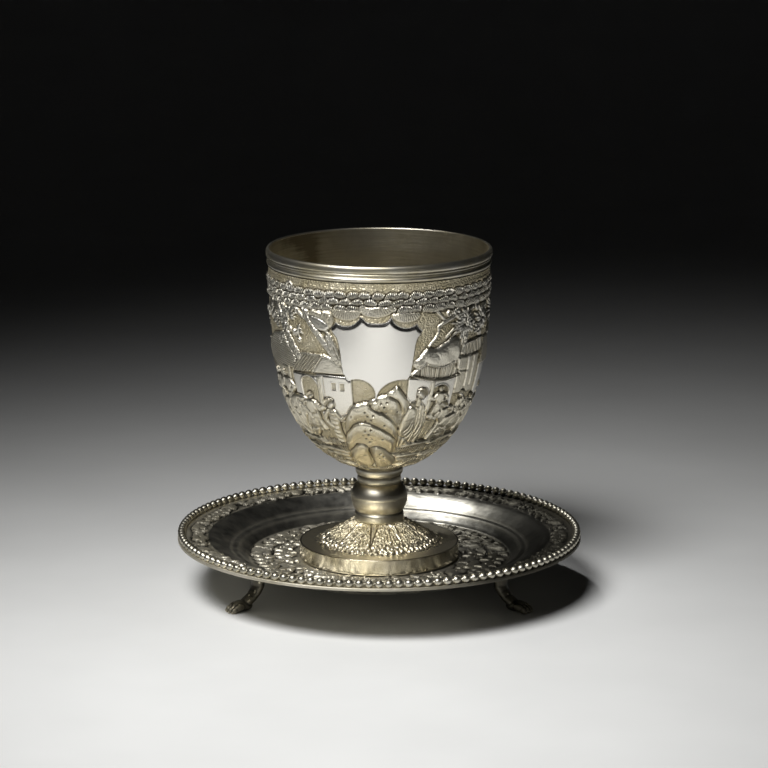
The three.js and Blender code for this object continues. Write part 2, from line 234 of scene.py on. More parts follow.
class Relief:
    """A sheet being chased, over a grid of bearings and distances down. It holds the height in mm,
    the matting, and for the finest strokes their phase in turns and their depth."""

    def __init__(self, bearings, downs, radii):
        self.bearings, self.downs, self.radii = bearings, downs, radii
        self.height = np.zeros((len(downs), len(bearings)))
        self.matting = np.ones_like(self.height)
        self.undercut = np.arcsin(np.clip(-np.gradient(radii) / np.gradient(downs), 0, 1))
        self.phase = np.zeros_like(self.height)
        self.stroke = np.zeros_like(self.height)
        self.random = np.random.default_rng(7)

    def window(self, places, margin):
        """The grid round some (bearing, down) places, with x and y there in mm, right and up."""
        places = np.asarray(places, float)
        bearing, down = (places.min(0) + places.max(0)) / 2
        radius = np.interp(down, self.downs, self.radii)
        local = np.radians(places[:, 0] - bearing) * radius, down - places[:, 1]
        x = np.radians((self.bearings - bearing + 180) % 360 - 180) * radius
        columns = np.nonzero(np.abs(x) < np.abs(local[0]).max() + margin)[0]
        rows = np.nonzero(np.abs(self.downs - down) < np.abs(local[1]).max() + margin)[0]
        return (np.ix_(rows, columns), x[columns][None, :], (down - self.downs[rows])[:, None],
                np.column_stack(local))

    def lay(self, where, distance, height, matting=0.0, groove=0.1, edge=0.16):
        """Lays a form over what is there: `distance` in mm is negative inside the form."""
        cover = smooth(distance, edge, -edge)
        self.height[where] -= groove * np.exp(-((distance - 0.22) / 0.2) ** 2)
        self.height[where] += cover * (height - self.height[where])
        self.matting[where] += cover * (matting - self.matting[where])
        self.stroke[where] *= 1 - cover
        return where, distance

    def mass(self, outline, lift=0.9, shoulder=0.9, rounded=True, matting=0.0, groove=0.14,
             lean=0.0):
        """A domed form inside a closed outline; `lean` lowers its foot, in mm for each mm down."""
        where, x, y, local = self.window(curve(outline, True) if rounded else outline, 1.2)
        distance = polygon(x, y, local)
        surface = lift * (0.3 + 0.7 * pillow(distance, shoulder)) + lean * (y - local[:, 1].max())
        self.lay(where, distance, surface, matting, groove)
        return where, x, y, distance

    def tube(self, route, width, tip=None, lift=0.8, matting=0.0, wobble=0.0):
        """A round ridge along a smooth route, `width` wide and narrowing to `tip`."""
        where, x, y, local = self.window(curve(route), width)
        distance, along = np.full(np.broadcast(x, y).shape, np.inf), 0.0
        tip = width if tip is None else tip
        lengths = np.hypot(*np.diff(local, axis=0).T)
        total, run = lengths.sum(), 0.0
        for start, end, length in zip(local, local[1:], lengths):
            w0, w1 = (width + (tip - width) * (run + step) / total for step in (0, length))
            gap, t = capsule(x, y, start, end, w0 / 2, w1 / 2)
            closer = gap < distance
            along = np.where(closer, run + t * length, along)
            distance = np.where(closer, gap, distance)
            run += length
        distance = distance + wobble * np.sin(2 * np.pi * along / 2.9 + route[0][0])
        surface = lift * (0.4 + 0.6 * pillow(distance, width * 0.4))
        self.lay(where, distance, surface, matting)
        return where, x, y, distance, along

    def score(self, where, distance, wave, depth, inset=0.3):
        """Cuts strokes into a form, away from its edge; `wave` is the strokes' phase in turns."""
        cover = smooth(distance, -inset + 0.15, -inset - 0.15)
        self.height[where] += depth * cover * (np.cos(2 * np.pi * wave) - 0.5)

    def hatch(self, where, distance, wave, depth, inset=0.2):
        """Lays strokes too fine for the grid over a form; the metal's surface carries them."""
        cover = smooth(distance, -inset + 0.15, -inset - 0.15)
        inside = distance < 0.1
        wave = np.broadcast_to(wave, inside.shape)
        self.phase[where] = np.where(inside, wave, self.phase[where])
        self.stroke[where] = np.where(inside, depth * cover, self.stroke[where])

    def line(self, route, depth=0.3, width=0.3):
        """Cuts a line along a smooth route."""
        where, x, y, local = self.window(curve(route), 1.0)
        distance = np.min([capsule(x, y, a, b, 0, 0)[0] for a, b in zip(local, local[1:])], axis=0)
        self.height[where] -= depth * np.exp(-((distance / width) ** 2))

    def pits(self, where, x, y, distance, spacing, size, depth, share=1.0, inset=0.6):
        """Punches pits in a loose pattern into a form."""
        u, v = x / spacing + 0.5 * np.floor(y / spacing), y / spacing
        cell = np.floor(u) * 12.9898 + np.floor(v) * 78.233
        shift = np.sin(cell) * 43758.5453 % 1, np.sin(cell * 1.7) * 24634.6345 % 1
        gap = np.hypot(u % 1 - 0.3 - 0.4 * shift[0], v % 1 - 0.3 - 0.4 * shift[1]) * spacing
        pit = smooth(gap, size, size * 0.3) * (shift[0] < share) * (0.4 + 0.6 * shift[1])
        self.height[where] -= depth * pit * smooth(distance, -inset + 0.2, -inset - 0.2)


def curve(points, closed=False, steps=7):
    """A smooth line through a few places, open or closed."""
    p = np.array(points, float)
    if closed:
        p = np.vstack([p[-1:], p, p[:2]])
    else:
        p = np.vstack([2 * p[:1] - p[1:2], p, 2 * p[-1:] - p[-2:-1]])
    t = np.linspace(0, 1, steps, endpoint=False)[:, None]
    parts = [
        b + 0.5 * t * (c - a + t * (2 * a - 5 * b + 4 * c - d + t * (3 * b - a - 3 * c + d)))
        for a, b, c, d in zip(p, p[1:], p[2:], p[3:])
    ]
    return np.vstack(parts if closed else parts + [p[-2:-1]])


def oval(x, y, half_width, half_height):
    """Roughly the signed distance to an oval, negative inside."""
    return (np.hypot(x / half_width, y / half_height) - 1) * min(half_width, half_height)


def capsule(x, y, start, end, r_start, r_end):
    """Distance to a tapered round bar, and the share of its length."""
    (x0, y0), (x1, y1) = start, end
    length2 = (x1 - x0) ** 2 + (y1 - y0) ** 2 + 1e-9
    t = np.clip(((x - x0) * (x1 - x0) + (y - y0) * (y1 - y0)) / length2, 0, 1)
    gap = np.hypot(x - x0 - t * (x1 - x0), y - y0 - t * (y1 - y0))
    return gap - (r_start + (r_end - r_start) * t), t


def polygon(x, y, corners):
    """Signed distance to a closed outline given by its corners, negative inside."""
    nearest = np.full(np.broadcast(x, y).shape, np.inf)
    inside = np.zeros(nearest.shape, bool)
    for (x0, y0), (x1, y1) in zip(corners, np.roll(corners, -1, axis=0)):
        nearest = np.minimum(nearest, capsule(x, y, (x0, y0), (x1, y1), 0, 0)[0])
        if y0 != y1:
            inside ^= ((y0 > y) != (y1 > y)) & (x < x0 + (y - y0) * (x1 - x0) / (y1 - y0))
    return np.where(inside, -nearest, nearest)


def pillow(distance, shoulder):
    """0 at the edge of a form, rising on a round shoulder to 1 at `shoulder` mm inside."""
    t = np.clip(-distance / shoulder, 0, 1)
    return np.sqrt(1 - (1 - t) ** 2)


# ---------------------------------------------------------------- bowl: parts of the scene
# The scene is in the common export style of a garden with tiled houses, trees, hills, rocks and
# small robed people. Each kind of thing in it is struck the same way wherever it occurs.

def frame_of(relief, bearing, down, size, side=1):
    """Turns places in units of `size` mm, right and up from a foot, into (bearing, down)."""
    degrees = math.degrees(size / np.interp(down, relief.downs, relief.radii))
    return lambda places: [(bearing + side * u * degrees, down - v * size) for u, v in places]


def tuft(relief, bearing, down, half_width=2.4, rise=1.5):
    """A low domed tuft of leaves, hatched like a fan and sinking to its foot."""
    where, x, y, _ = relief.window([(bearing, down)], half_width + 1)
    y = y + relief.random.uniform(-0.15, 0.15) * x
    ragged = 0.09 * np.sin(6 * np.arctan2(x, y + 1.6) + bearing)
    distance = np.maximum(oval(x, y + 0.6, half_width, rise + 0.3) + ragged, -(y + 1.3))
    lift = relief.random.uniform(0.62, 0.9)
    surface = lift * (0.2 + 0.8 * np.clip(-distance / 1.1, 0, 1) ** 0.75) + 0.1 * (y - 0.4)
    relief.lay(where, distance, surface, 0.1, groove=0.3, edge=0.12)
    wave = np.arctan2(x, y + 2.8) * 5.4
    relief.hatch(where, distance, wave, 0.34 * smooth(y, -1.5, -0.3), -0.05)


def leaf(relief, bearing, down, length, width, angle, lift=0.8):
    """A pointed leaf from its stalk, at an angle in degrees from upright, with a sunk midrib."""
    where, x, y, _ = relief.window([(bearing, down)], length + 0.8)
    turn = math.radians(angle)
    along = x * math.sin(turn) + y * math.cos(turn)
    across = x * math.cos(turn) - y * math.sin(turn)
    t = np.clip(along / length, 0, 1)
    distance = np.abs(across) - width / 2 * np.sin(np.pi * t**0.8)
    distance = np.maximum(distance, np.maximum(-along, along - length))
    rib = -0.15 * np.exp(-(across / 0.18) ** 2)
    relief.lay(where, distance, lift * (0.5 + 0.5 * pillow(distance, 0.6)) + rib)


def burst(relief, bearing, down, count, length, width=1.1, spread=360, facing=0, lift=0.75):
    """Leaves thrown out from one place, such as a palm's crown or a bush."""
    radius = np.interp(down, relief.downs, relief.radii)
    for layer, share in enumerate((1.0, 0.62)):
        for step in range(count):
            angle = facing + spread * ((step + layer / 2) / count - 0.5)
            angle += relief.random.uniform(-8, 8)
            reach = length * share * relief.random.uniform(0.75, 1.1)
            root = length * 0.12
            b = bearing + math.degrees(root * math.sin(math.radians(angle)) / radius)
            d = down - root * math.cos(math.radians(angle))
            leaf(relief, b, d, reach, width, angle, lift + 0.2 * layer)


def trunk(relief, route, width, tip=None, lift=0.8):
    """A trunk: slanting bark between two bright edges, with knots where boughs were lost."""
    where, x, y, distance, along = relief.tube(route, width, tip, lift, 0.15, 0.05)
    split = np.cos(2 * np.pi * (distance / 0.72 + 0.1 * np.sin(along * 2.1)))
    relief.height[where] += 0.1 * split * smooth(distance, -0.1, -0.35)
    relief.pits(where, x, y, distance, 1.1, 0.34, 0.35, 0.5, 0.35)
    knots = smooth(np.sin(along * 1.6 + route[0][0]), 0.85, 1.0)
    relief.height[where] -= 0.1 * knots * smooth(distance, -0.1, -0.4)


def roof(relief, corners, tile=0.62, angle=20.0, lift=0.5, rows=0.0, skew=1.0, pitch=0.1,
         bold=0.0):
    """A tiled roof, standing out `pitch` mm more for each mm down. Corners run from the left end
    of the eaves round by the ridge to the right end; `bold` is the spacing of deep tile courses."""
    where, x, y, distance = relief.mass(corners, lift, 0.4, False, 0.2, lean=-pitch)
    lean = math.tan(math.radians(angle)) * (1 if skew == 1.0 else x / np.abs(x).max() * skew)
    relief.hatch(where, distance, (x + lean * y) / tile, 0.27, 0.1)
    if bold:
        course = (x + lean * y) / bold + 0.12 * np.sin(x * 1.7)
        relief.score(where, distance, course, 0.13 + 0.07 * np.sin(x * 0.9 + 1), 0.1)
    if rows:
        relief.score(where, distance, (y + 0.1 * x) / rows, 0.07, 0.2)


def beam(relief, route, width=0.75, lift=0.95):
    """A bright ridge tile, eaves board or rail."""
    relief.tube(route, width, width, lift)


def wall(relief, corners, lift=0.5, matting=-0.6):
    """A plain smooth wall."""
    relief.mass(corners, lift, 0.4, False, matting, groove=0.2)


def small_window(relief, bearing, down, half_width=0.75, half_height=1.2):
    """A small sunk window with a raised surround."""
    where, x, y, _ = relief.window([(bearing, down)], 3)
    hole = np.maximum(np.abs(x) - half_width, np.abs(y) - half_height)
    surround = 0.12 * np.exp(-((hole - 0.1) / 0.2) ** 2)
    relief.height[where] += surround - 0.35 * smooth(hole, 0.1, -0.15)
    relief.matting[where] += smooth(hole, 0.1, -0.1)


def doorway(relief, bearing, down, half_width, tall, strokes=0.0):
    """An arched opening with its foot at `down`: sunk, and hatched inside if strokes are given."""
    where, x, y, _ = relief.window([(bearing, down), (bearing, down - tall)], half_width + 2)
    y = y + tall / 2
    hole = np.maximum(np.abs(x) - half_width, np.abs(y - tall / 2) - tall / 2)
    arch = oval(x, y - tall + half_width, half_width, half_width)
    hole = np.maximum(hole, np.where(y > tall - half_width, arch, -9))
    relief.height[where] += 0.25 * np.exp(-((hole - 0.35) / 0.25) ** 2)
    relief.lay(where, hole, -0.05 + 0 * x, 0.8, groove=0)
    if strokes:
        relief.hatch(where, hole, y / strokes, 0.1, 0.1)


def head(relief, at, u, v, size, hat=False, lift=1.15):
    """A head with hair drawn back, facing right, or under a pointed hat."""
    def sized(places):
        return at([(u + size * across, v + size * up) for across, up in places])

    face = [(-0.8, 0), (-0.5, 0.9), (0.5, 0.9), (0.9, 0.1), (0.5, -0.8), (-0.4, -0.9)]
    relief.mass(sized(face), lift, 0.7, matting=-0.2, groove=0.3)
    hair = [(-1.1, -0.3), (-1.1, 0.8), (-0.1, 1.35), (0.8, 1.0), (0.1, 0.55), (-0.5, -0.2)]
    where, x, y, distance = relief.mass(sized(hair), lift + 0.1, 0.4, matting=0.5, groove=0.2)
    relief.hatch(where, distance, (x + y) / 0.5, 0.34, 0.0)
    if hat:
        relief.mass(sized([(-1.6, 0.9), (0, 2.3), (1.6, 0.8)]), lift + 0.15, 0.5, False)


def person(relief, bearing, down, tall, side=1, bow=0.0, hat=False, lift=1.0):
    """A standing robed person: a robe with hanging folds, a sash, two sleeves and a head."""
    upright = frame_of(relief, bearing, down, tall, side)

    def at(places):
        return upright([(u + bow * max(0, v - 0.35) ** 1.3, v) for u, v in places])

    robe = [(-0.1, 0.8), (0.1, 0.8), (0.19, 0.62), (0.14, 0.45), (0.24, 0.2), (0.3, 0.0),
            (0.02, 0.03), (-0.26, 0.0), (-0.2, 0.3), (-0.13, 0.48), (-0.17, 0.66)]
    where, x, y, distance = relief.mass(at(robe), lift, 0.11 * tall)
    folds = np.arctan2(x, tall * 0.75 - y) * 4.2
    relief.score(where, distance, folds, 0.2 * smooth(y, 0.1 * tall, -0.2 * tall), 0.3)
    relief.line(at([(-0.17, 0.46), (0.0, 0.42), (0.17, 0.47)]), 0.25)
    for sleeve in ([(-0.13, 0.74), (-0.25, 0.58), (-0.12, 0.47)],
                   [(0.13, 0.74), (0.24, 0.6), (0.34, 0.66)]):
        where, x, y, distance, along = relief.tube(at(sleeve), 0.1 * tall, 0.15 * tall, lift * 1.05)
        relief.score(where, distance, along / (0.09 * tall), 0.06, 0.2)
    head(relief, at, 0.01, 0.9, 0.075, hat, lift * 1.1)


def seated(relief, bearing, down, tall, side=1, hat=True, lift=1.1):
    """A person seated on a rock, with one broad knee forward and the robe spread to the ground."""
    at = frame_of(relief, bearing, down, tall, side)
    back = [(-0.22, 0.05), (-0.28, 0.35), (-0.2, 0.66), (-0.06, 0.8), (0.09, 0.76), (0.16, 0.55),
            (0.3, 0.4), (0.28, 0.1), (0.05, 0.0)]
    where, x, y, distance = relief.mass(at(back), lift * 0.85, 0.12 * tall)
    relief.score(where, distance, np.arctan2(x + 1, tall * 0.6 - y) * 3.8, 0.2, 0.35)
    knee = [(0.0, 0.42), (0.14, 0.5), (0.34, 0.42), (0.46, 0.22), (0.4, 0.08), (0.25, 0.12),
            (0.15, 0.28)]
    relief.mass(at(knee), lift * 1.1, 0.1 * tall, groove=0.3)
    hem = [(0.36, 0.12), (0.46, 0.1), (0.54, -0.04), (0.34, -0.06)]
    where, x, y, distance = relief.mass(at(hem), lift * 0.85, 0.6)
    relief.score(where, distance, np.arctan2(x, y + 3) * 3.0, 0.1, 0.1)
    sleeve = [(-0.1, 0.7), (0.0, 0.5), (0.16, 0.52), (0.3, 0.6)]
    relief.tube(at(sleeve), 0.11 * tall, 0.13 * tall, lift * 1.1)
    head(relief, at, 0.04, 0.87, 0.075, hat, lift * 1.1)


def upper_edge(x, outline):
    """Height of an outline's upper edge at x."""
    turned_round = np.roll(outline, -int(outline[:, 0].argmin()), axis=0)
    far = int(turned_round[:, 0].argmax())
    sides = turned_round[:far + 1], np.vstack([turned_round[far:], turned_round[:1]])[::-1]
    upper = max(sides, key=lambda side: side[:, 1].mean())
    rank = np.argsort(upper[:, 0])
    return np.interp(x, upper[rank, 0], upper[rank, 1])


def brow(relief, outline, lift, lean, rolled=1.0, swell=0.0):
    """A form with a crisp step along its top, then a band rolled gently back, then a body that
    sinks to its foot. The band faces a little upward wherever it is on the bowl."""
    where, x, y, local = relief.window(curve(outline, True), 1.2)
    distance = polygon(x, y, local)
    down = np.mean([place[1] for place in outline])
    rolled *= np.interp(down, [25, 58], [1, 0.7])
    facing = math.radians(16) + min(0.6, np.interp(down, relief.downs, relief.undercut))
    rise = rolled * math.tan(facing)
    under = np.clip(upper_edge(x, local) + 0.1 * np.sin(2.3 * x) - y, 0, None)
    ends = np.minimum(x - local[:, 0].min(), local[:, 0].max() - x)
    surface = lift * 0.35 + 1.1 * rise * np.clip(under / rolled, 0, 1) ** 0.9
    surface = surface + 0.45 * lift * (pillow(distance, 3.2) - 0.3)
    body = np.clip(under - rolled, 0, None)
    swelling = swell * np.sin(np.pi * np.clip(body / 5.5, 0, 1))
    surface = surface - lean * np.minimum(body, 7) + swelling
    surface = surface * (0.2 + 0.8 * smooth(ends, 0, 2.2))
    surface = surface + 0.07 * np.sin(x / 0.9 + y) * smooth(under, 1, 3)
    relief.lay(where, distance, surface, 0.1, groove=0.14, edge=0.1)
    return where, x, y, distance, under / rolled


def local_foot(y, distance):
    """Rises from 0 to 1 over a form's lowest third, where dirt and strokes collect."""
    lowest = np.min(np.where(distance < 0, y, np.inf), axis=0)[None, :]
    return smooth(y - np.where(np.isfinite(lowest), lowest, y), 2.4, 0.9)


def hill(relief, outline, lift=1.15):
    """A hill: a rolled brow, a smooth slope, and short strokes along its foot."""
    where, x, y, distance, _ = brow(relief, outline, lift, 0.07, swell=0.3)
    low = local_foot(y, distance)
    relief.score(where, distance, (x + 0.2 * y) / 0.8, 0.1 * low, 0.1)
    relief.pits(where, x, y, distance + 9 * (1 - low), 0.9, 0.4, 0.55, 0.7, 0.4)


def ledge(relief, outline, lift=1.1, pitted=True):
    """A layer of rock: a rolled brow with strokes under it, over a body punched with pits."""
    where, x, y, distance, under = brow(relief, outline, lift, 0.1, swell=0.5)
    low = local_foot(y, distance)
    band = smooth(under, 1.4, 1.9) * smooth(under, 3.2, 2.2)
    relief.score(where, distance, (x - 0.3 * y) / 0.7, 0.06 * band, 0.2)
    if pitted:
        relief.pits(where, x, y, distance + 9 * smooth(under, 2.8, 1.8), 1.7, 0.5, 0.7, 0.3, 0.5)
        relief.pits(where, x + 0.4, y, distance + 9 * (1 - low), 0.7, 0.26, 0.4, 0.6, 0.3)
        relief.matting[where] += 0.2 * smooth(distance, -0.6, -1.6) * smooth(under, 2, 6)


def curl(relief, bearing, down, radius, side=1, lift=0.9):
    """A wound curl of cloud or tendril."""
    turns = np.linspace(0.15, 1.5, 14)
    at = frame_of(relief, bearing, down, radius, side)
    places = [(0.62 * t * math.cos(6.28 * t), 0.62 * t * math.sin(6.28 * t)) for t in turns]
    relief.tube(at(places), radius * 0.24, radius * 0.36, lift)


def grass(relief, bearing, down, width, count, tall=2.2):
    """A row of short blades."""
    radius = np.interp(down, relief.downs, relief.radii)
    for step in range(count):
        offset = width * ((step + 0.5) / count - 0.5)
        angle = relief.random.uniform(-30, 30)
        leaf(relief, bearing + math.degrees(offset / radius), down, tall, 0.75, angle, 0.7)


# ---------------------------------------------------------------- bowl: the scene itself
# Places are (bearing, mm down the skin from the moulding). Things farther off are struck first,
# nearer ones over them. The back is the same garden, done more plainly.

def leaf_rows(relief):
    """Three staggered rows of tufts under the mouth, each row in front of the one above."""
    for row, down in enumerate((4.0, 6.2, 8.3)):
        count = 56 - row
        for step in range(count):
            sway = relief.random.uniform(-1, 1)
            bearing = (step + row * 0.47) * 360 / count + 0.9 * sway
            tuft(relief, bearing, down + 0.35 * sway, 2.35 + 0.4 * sway, 1.45 + 0.25 * sway)


def shield(relief):
    """The vacant shield: hollow sides and two scoops to a sharp foot, its top cut by the swags."""
    where, x, y, _ = relief.window([(-1.2, 24)], 20)
    half_width = np.interp(y, [-9.5, -8, -6, -1, 4, 6, 8.5, 10.5],
                           [8.6, 10.2, 11.3, 11.9, 12.5, 13.1, 14.9, 15.3])
    sides = np.abs(x - 0.1) - half_width
    scoops = np.maximum(-oval(x + 6.6, y + 13.2, 6.1, 5.3), -oval(x - 8.8, y + 15.0, 8.9, 7.0))
    drapes = y - 11.2 - 2.2 * np.exp(-((np.abs(x) - 5.2) / 1.6) ** 2)
    for centre, hang, half, deep in ((-9.9, 14.6, 5.0, 4.6), (-0.2, 15.6, 5.7, 3.9),
                                     (9.5, 13.7, 4.8, 4.2)):
        drapes = np.maximum(drapes, -oval(x - centre, y - hang, half, deep))
    ears = np.maximum(-oval(x + 16.2, y - 12.6, 3.4, 3.6), -oval(x - 15.8, y - 12.2, 3.2, 4.0))
    top = np.maximum(drapes, ears)
    distance = np.maximum(np.maximum.reduce([sides, scoops, top]), -(y + 15.4))
    proud = 0.1 + 0.0014 * np.maximum(y + 5, 0) ** 2
    rolled = proud * np.clip((0.1 - top) / 1.25, 0, 1)
    relief.lay(where, distance, 0.12 + rolled, -1.0, groove=0.0, edge=0.1)
    relief.height[where] += 0.1 * np.exp(-((top + 0.05) / 0.1) ** 2) * (sides < 0)
    border = np.maximum(sides, scoops)
    line = np.exp(-((border - 0.15) / 0.22) ** 2) * (distance > -0.5) * (drapes < 1)
    relief.height[where] -= 0.16 * line


def swags(relief):
    """Sagging drapes of leaf that hang over the shield's top."""
    for bearing, down, half, deep in ((-17.2, 10.4, 4.9, 2.6), (-1.5, 9.2, 5.5, 2.6),
                                      (14.2, 11.3, 4.6, 2.3)):
        where, x, y, _ = relief.window([(bearing, down)], 6.5)
        distance = np.maximum(oval(x, y - 0.9, half, deep), y - 1.6)
        relief.lay(where, distance, 0.22 + 0.2 * pillow(distance, 0.9), 0.4, groove=0.08)
        relief.hatch(where, distance, np.arctan2(x, 5 - y) * 7.5, 0.1, 0.3)


def trunks(relief, *shapes):
    """Several trunks or branches, each a route and its widths."""
    for route, *widths in shapes:
        trunk(relief, route, *widths)


def beams(relief, *shapes):
    """Several beams, each a route with its width and lift."""
    for route, *sizes in shapes:
        beam(relief, route, *sizes)


def lines(relief, depth, *routes):
    """Several cut lines of one depth."""
    for route in routes:
        relief.line(route, depth)


def left_of_shield(relief):
    """Trees lean over a gabled house with two windows; people pass in front of its archway."""
    thatch = [(-88, 29), (-85, 25.5), (-76, 21.5), (-67, 19.8), (-59, 20.2), (-54.5, 22.8),
              (-48, 26), (-51, 30), (-64, 31), (-80, 32)]
    where, x, y, distance, _ = brow(relief, thatch, 1.1, 0.06)
    relief.score(where, distance, (y + 0.3 * x) / 0.95, 0.17, 0.2)
    relief.hatch(where, distance, (y - 0.4 * x) / 0.6, 0.22, 0.3)
    wall(relief, [(-76, 31), (-58, 30.5), (-58, 43), (-76, 43)], 0.4, 0.3)
    person(relief, -75, 46, 14, 1, 0.1)
    person(relief, -62, 45, 13, -1, 0.15)
    burst(relief, -71, 12, 12, 5.5)
    wall(relief, [(-55, 32), (-33, 32), (-33, 47), (-55, 47)], 0.3)
    doorway(relief, -42.5, 47, 3.2, 14.5)
    wall(relief, [(-36.5, 31), (-15.3, 31), (-15.0, 48), (-36.5, 48)])
    relief.line([(-32.4, 32), (-32.2, 40), (-31.8, 47)])
    relief.line([(-36.4, 31.4), (-25, 31.2), (-16, 31.3)], 0.2)
    post = [(-36, 32), (-33.2, 32), (-33, 44), (-35.6, 44)]
    where, x, y, distance = relief.mass(post, 0.75, 0.4, False)
    relief.pits(where, x, y, distance, 1.1, 0.35, 0.3, inset=0.3)
    for bearing in (-25.6, -20.6):
        small_window(relief, bearing, 34.8)
    roof(relief, [(-54, 31.2), (-45.8, 24.9), (-31.2, 24.6), (-38.8, 30.6)], 0.62, -42, rows=1.6,
         bold=1.2)
    wall(relief, [(-38.8, 30.8), (-31, 24.8), (-27, 25), (-17, 28.9), (-17, 30.4)], 0.6, 0.1)
    beams(relief, ([(-46, 24.8), (-31.2, 24.4)], 0.5, 0.85),
          ([(-30.5, 24.2), (-24, 25.8), (-17, 28.6)], 0.6, 0.8),
          ([(-31.2, 24.6), (-35, 27.6), (-38.8, 30.8)], 0.45, 0.75))
    burst(relief, -54, 13, 9, 4.4, spread=260, facing=-10)
    trunks(relief, ([(-72, 5), (-62, 13.5), (-54.5, 20.5), (-47.5, 26)], 3.2, 2.6),
           ([(-62.5, 6), (-58.5, 11.5), (-55, 17)], 2.2, 1.4),
           ([(-49, 9.8), (-45, 11.4), (-40.5, 13.2)], 1.7, 1.0),
           ([(-43, 7.5), (-39, 13), (-32, 18.6), (-21.5, 26.6)], 2.6, 1.8),
           ([(-33, 14), (-27, 17), (-23, 22), (-19.5, 27.5)], 1.0, 0.8))
    burst(relief, -48, 17, 6, 2.8, spread=200, facing=150)
    for bearing, down, size in ((-64, 9.5, 3.2), (-56, 15.5, 2.6), (-49, 11, 2.4), (-60, 21, 2.6),
                                (-68, 17, 3.0)):
        burst(relief, bearing, down, 6, size, 0.8, 220, relief.random.uniform(-60, 60))
    for bearing, down in ((-53, 17.5), (-46, 20.5), (-61, 13), (-70, 22)):
        curl(relief, bearing, down, 1.3)
    trunk(relief, [(-27.5, 18), (-25.5, 21.5), (-23, 25)], 1.7, 1.2)
    peach(relief)
    passers_by(relief)


def peach(relief):
    """A broad fruit with its leaf beside the shield's corner."""
    relief.mass([(-37, 9), (-31, 7.6), (-25.5, 9.5), (-23.8, 13), (-28, 16), (-34, 15), (-38, 12)],
                1.0, 2.0, matting=0.5)
    relief.mass([(-37.5, 11.5), (-31, 12), (-26.5, 14), (-28, 16.2), (-34, 15.4)], 1.15, 1.0,
                groove=0.1)
    trunk(relief, [(-39, 8.5), (-36, 7), (-33, 6.6)], 1.0)


def passers_by(relief):
    """The people at the left: two with bundles near the archway, and one in a banded coat."""
    person(relief, -66, 56, 17, -1, 0.2)
    at = frame_of(relief, -55, 55, 16)
    bundle = [(-0.35, 0.3), (-0.3, 0.75), (0.0, 0.95), (0.3, 0.85), (0.38, 0.5), (0.3, 0.1),
              (0.1, -0.05), (-0.1, 0.1)]
    relief.mass(at(bundle), 1.2, 2.2, groove=0.35)
    relief.tube(at([(0.35, 0.85), (0.42, 0.5), (0.4, 0.2)]), 1.6, 1.2, 1.25)
    lines(relief, 0.3, *(
        at([(-0.2 + shift, 0.78 - shift * 0.3), (-0.05 + shift, 0.45), (0.02 + shift * 0.6, 0.05)])
        for shift in (-0.12, 0.0, 0.12, 0.24)))
    relief.line(at([(-0.22, 0.55), (-0.12, 0.64), (-0.02, 0.55), (-0.12, 0.46), (-0.22, 0.55)]))
    person(relief, -45, 52, 14, 1, 0.1)
    relief.tube([(-54, 42), (-49, 44.5), (-45, 47.5)], 1.5, 1.2, 1.2)
    coat = [(-32, 43.5), (-27.5, 43.2), (-25.5, 47), (-25.5, 52), (-22.5, 60), (-28.5, 61),
            (-31, 54), (-31.5, 49)]
    where, x, y, distance = relief.mass(coat, 1.15, 1.6, groove=0.35)
    relief.score(where, distance, (y + 0.35 * x) / 1.8, 0.2, 0.4)
    relief.tube([(-32, 44), (-34.5, 47.5), (-31, 50)], 1.4, 1.8, 1.1)
    relief.tube([(-27, 44), (-23.5, 46.5), (-20, 45.5)], 1.3, 1.0, 1.1)
    head(relief, frame_of(relief, -29.5, 42.5, 20), 0.0, 0.06, 0.085)
    relief.line([(-38, 50), (-35, 55), (-33, 59)], 0.25)
    for bearing, down in ((-52, 57), (-46, 60), (-40, 58)):
        grass(relief, bearing, down, 4, 4)


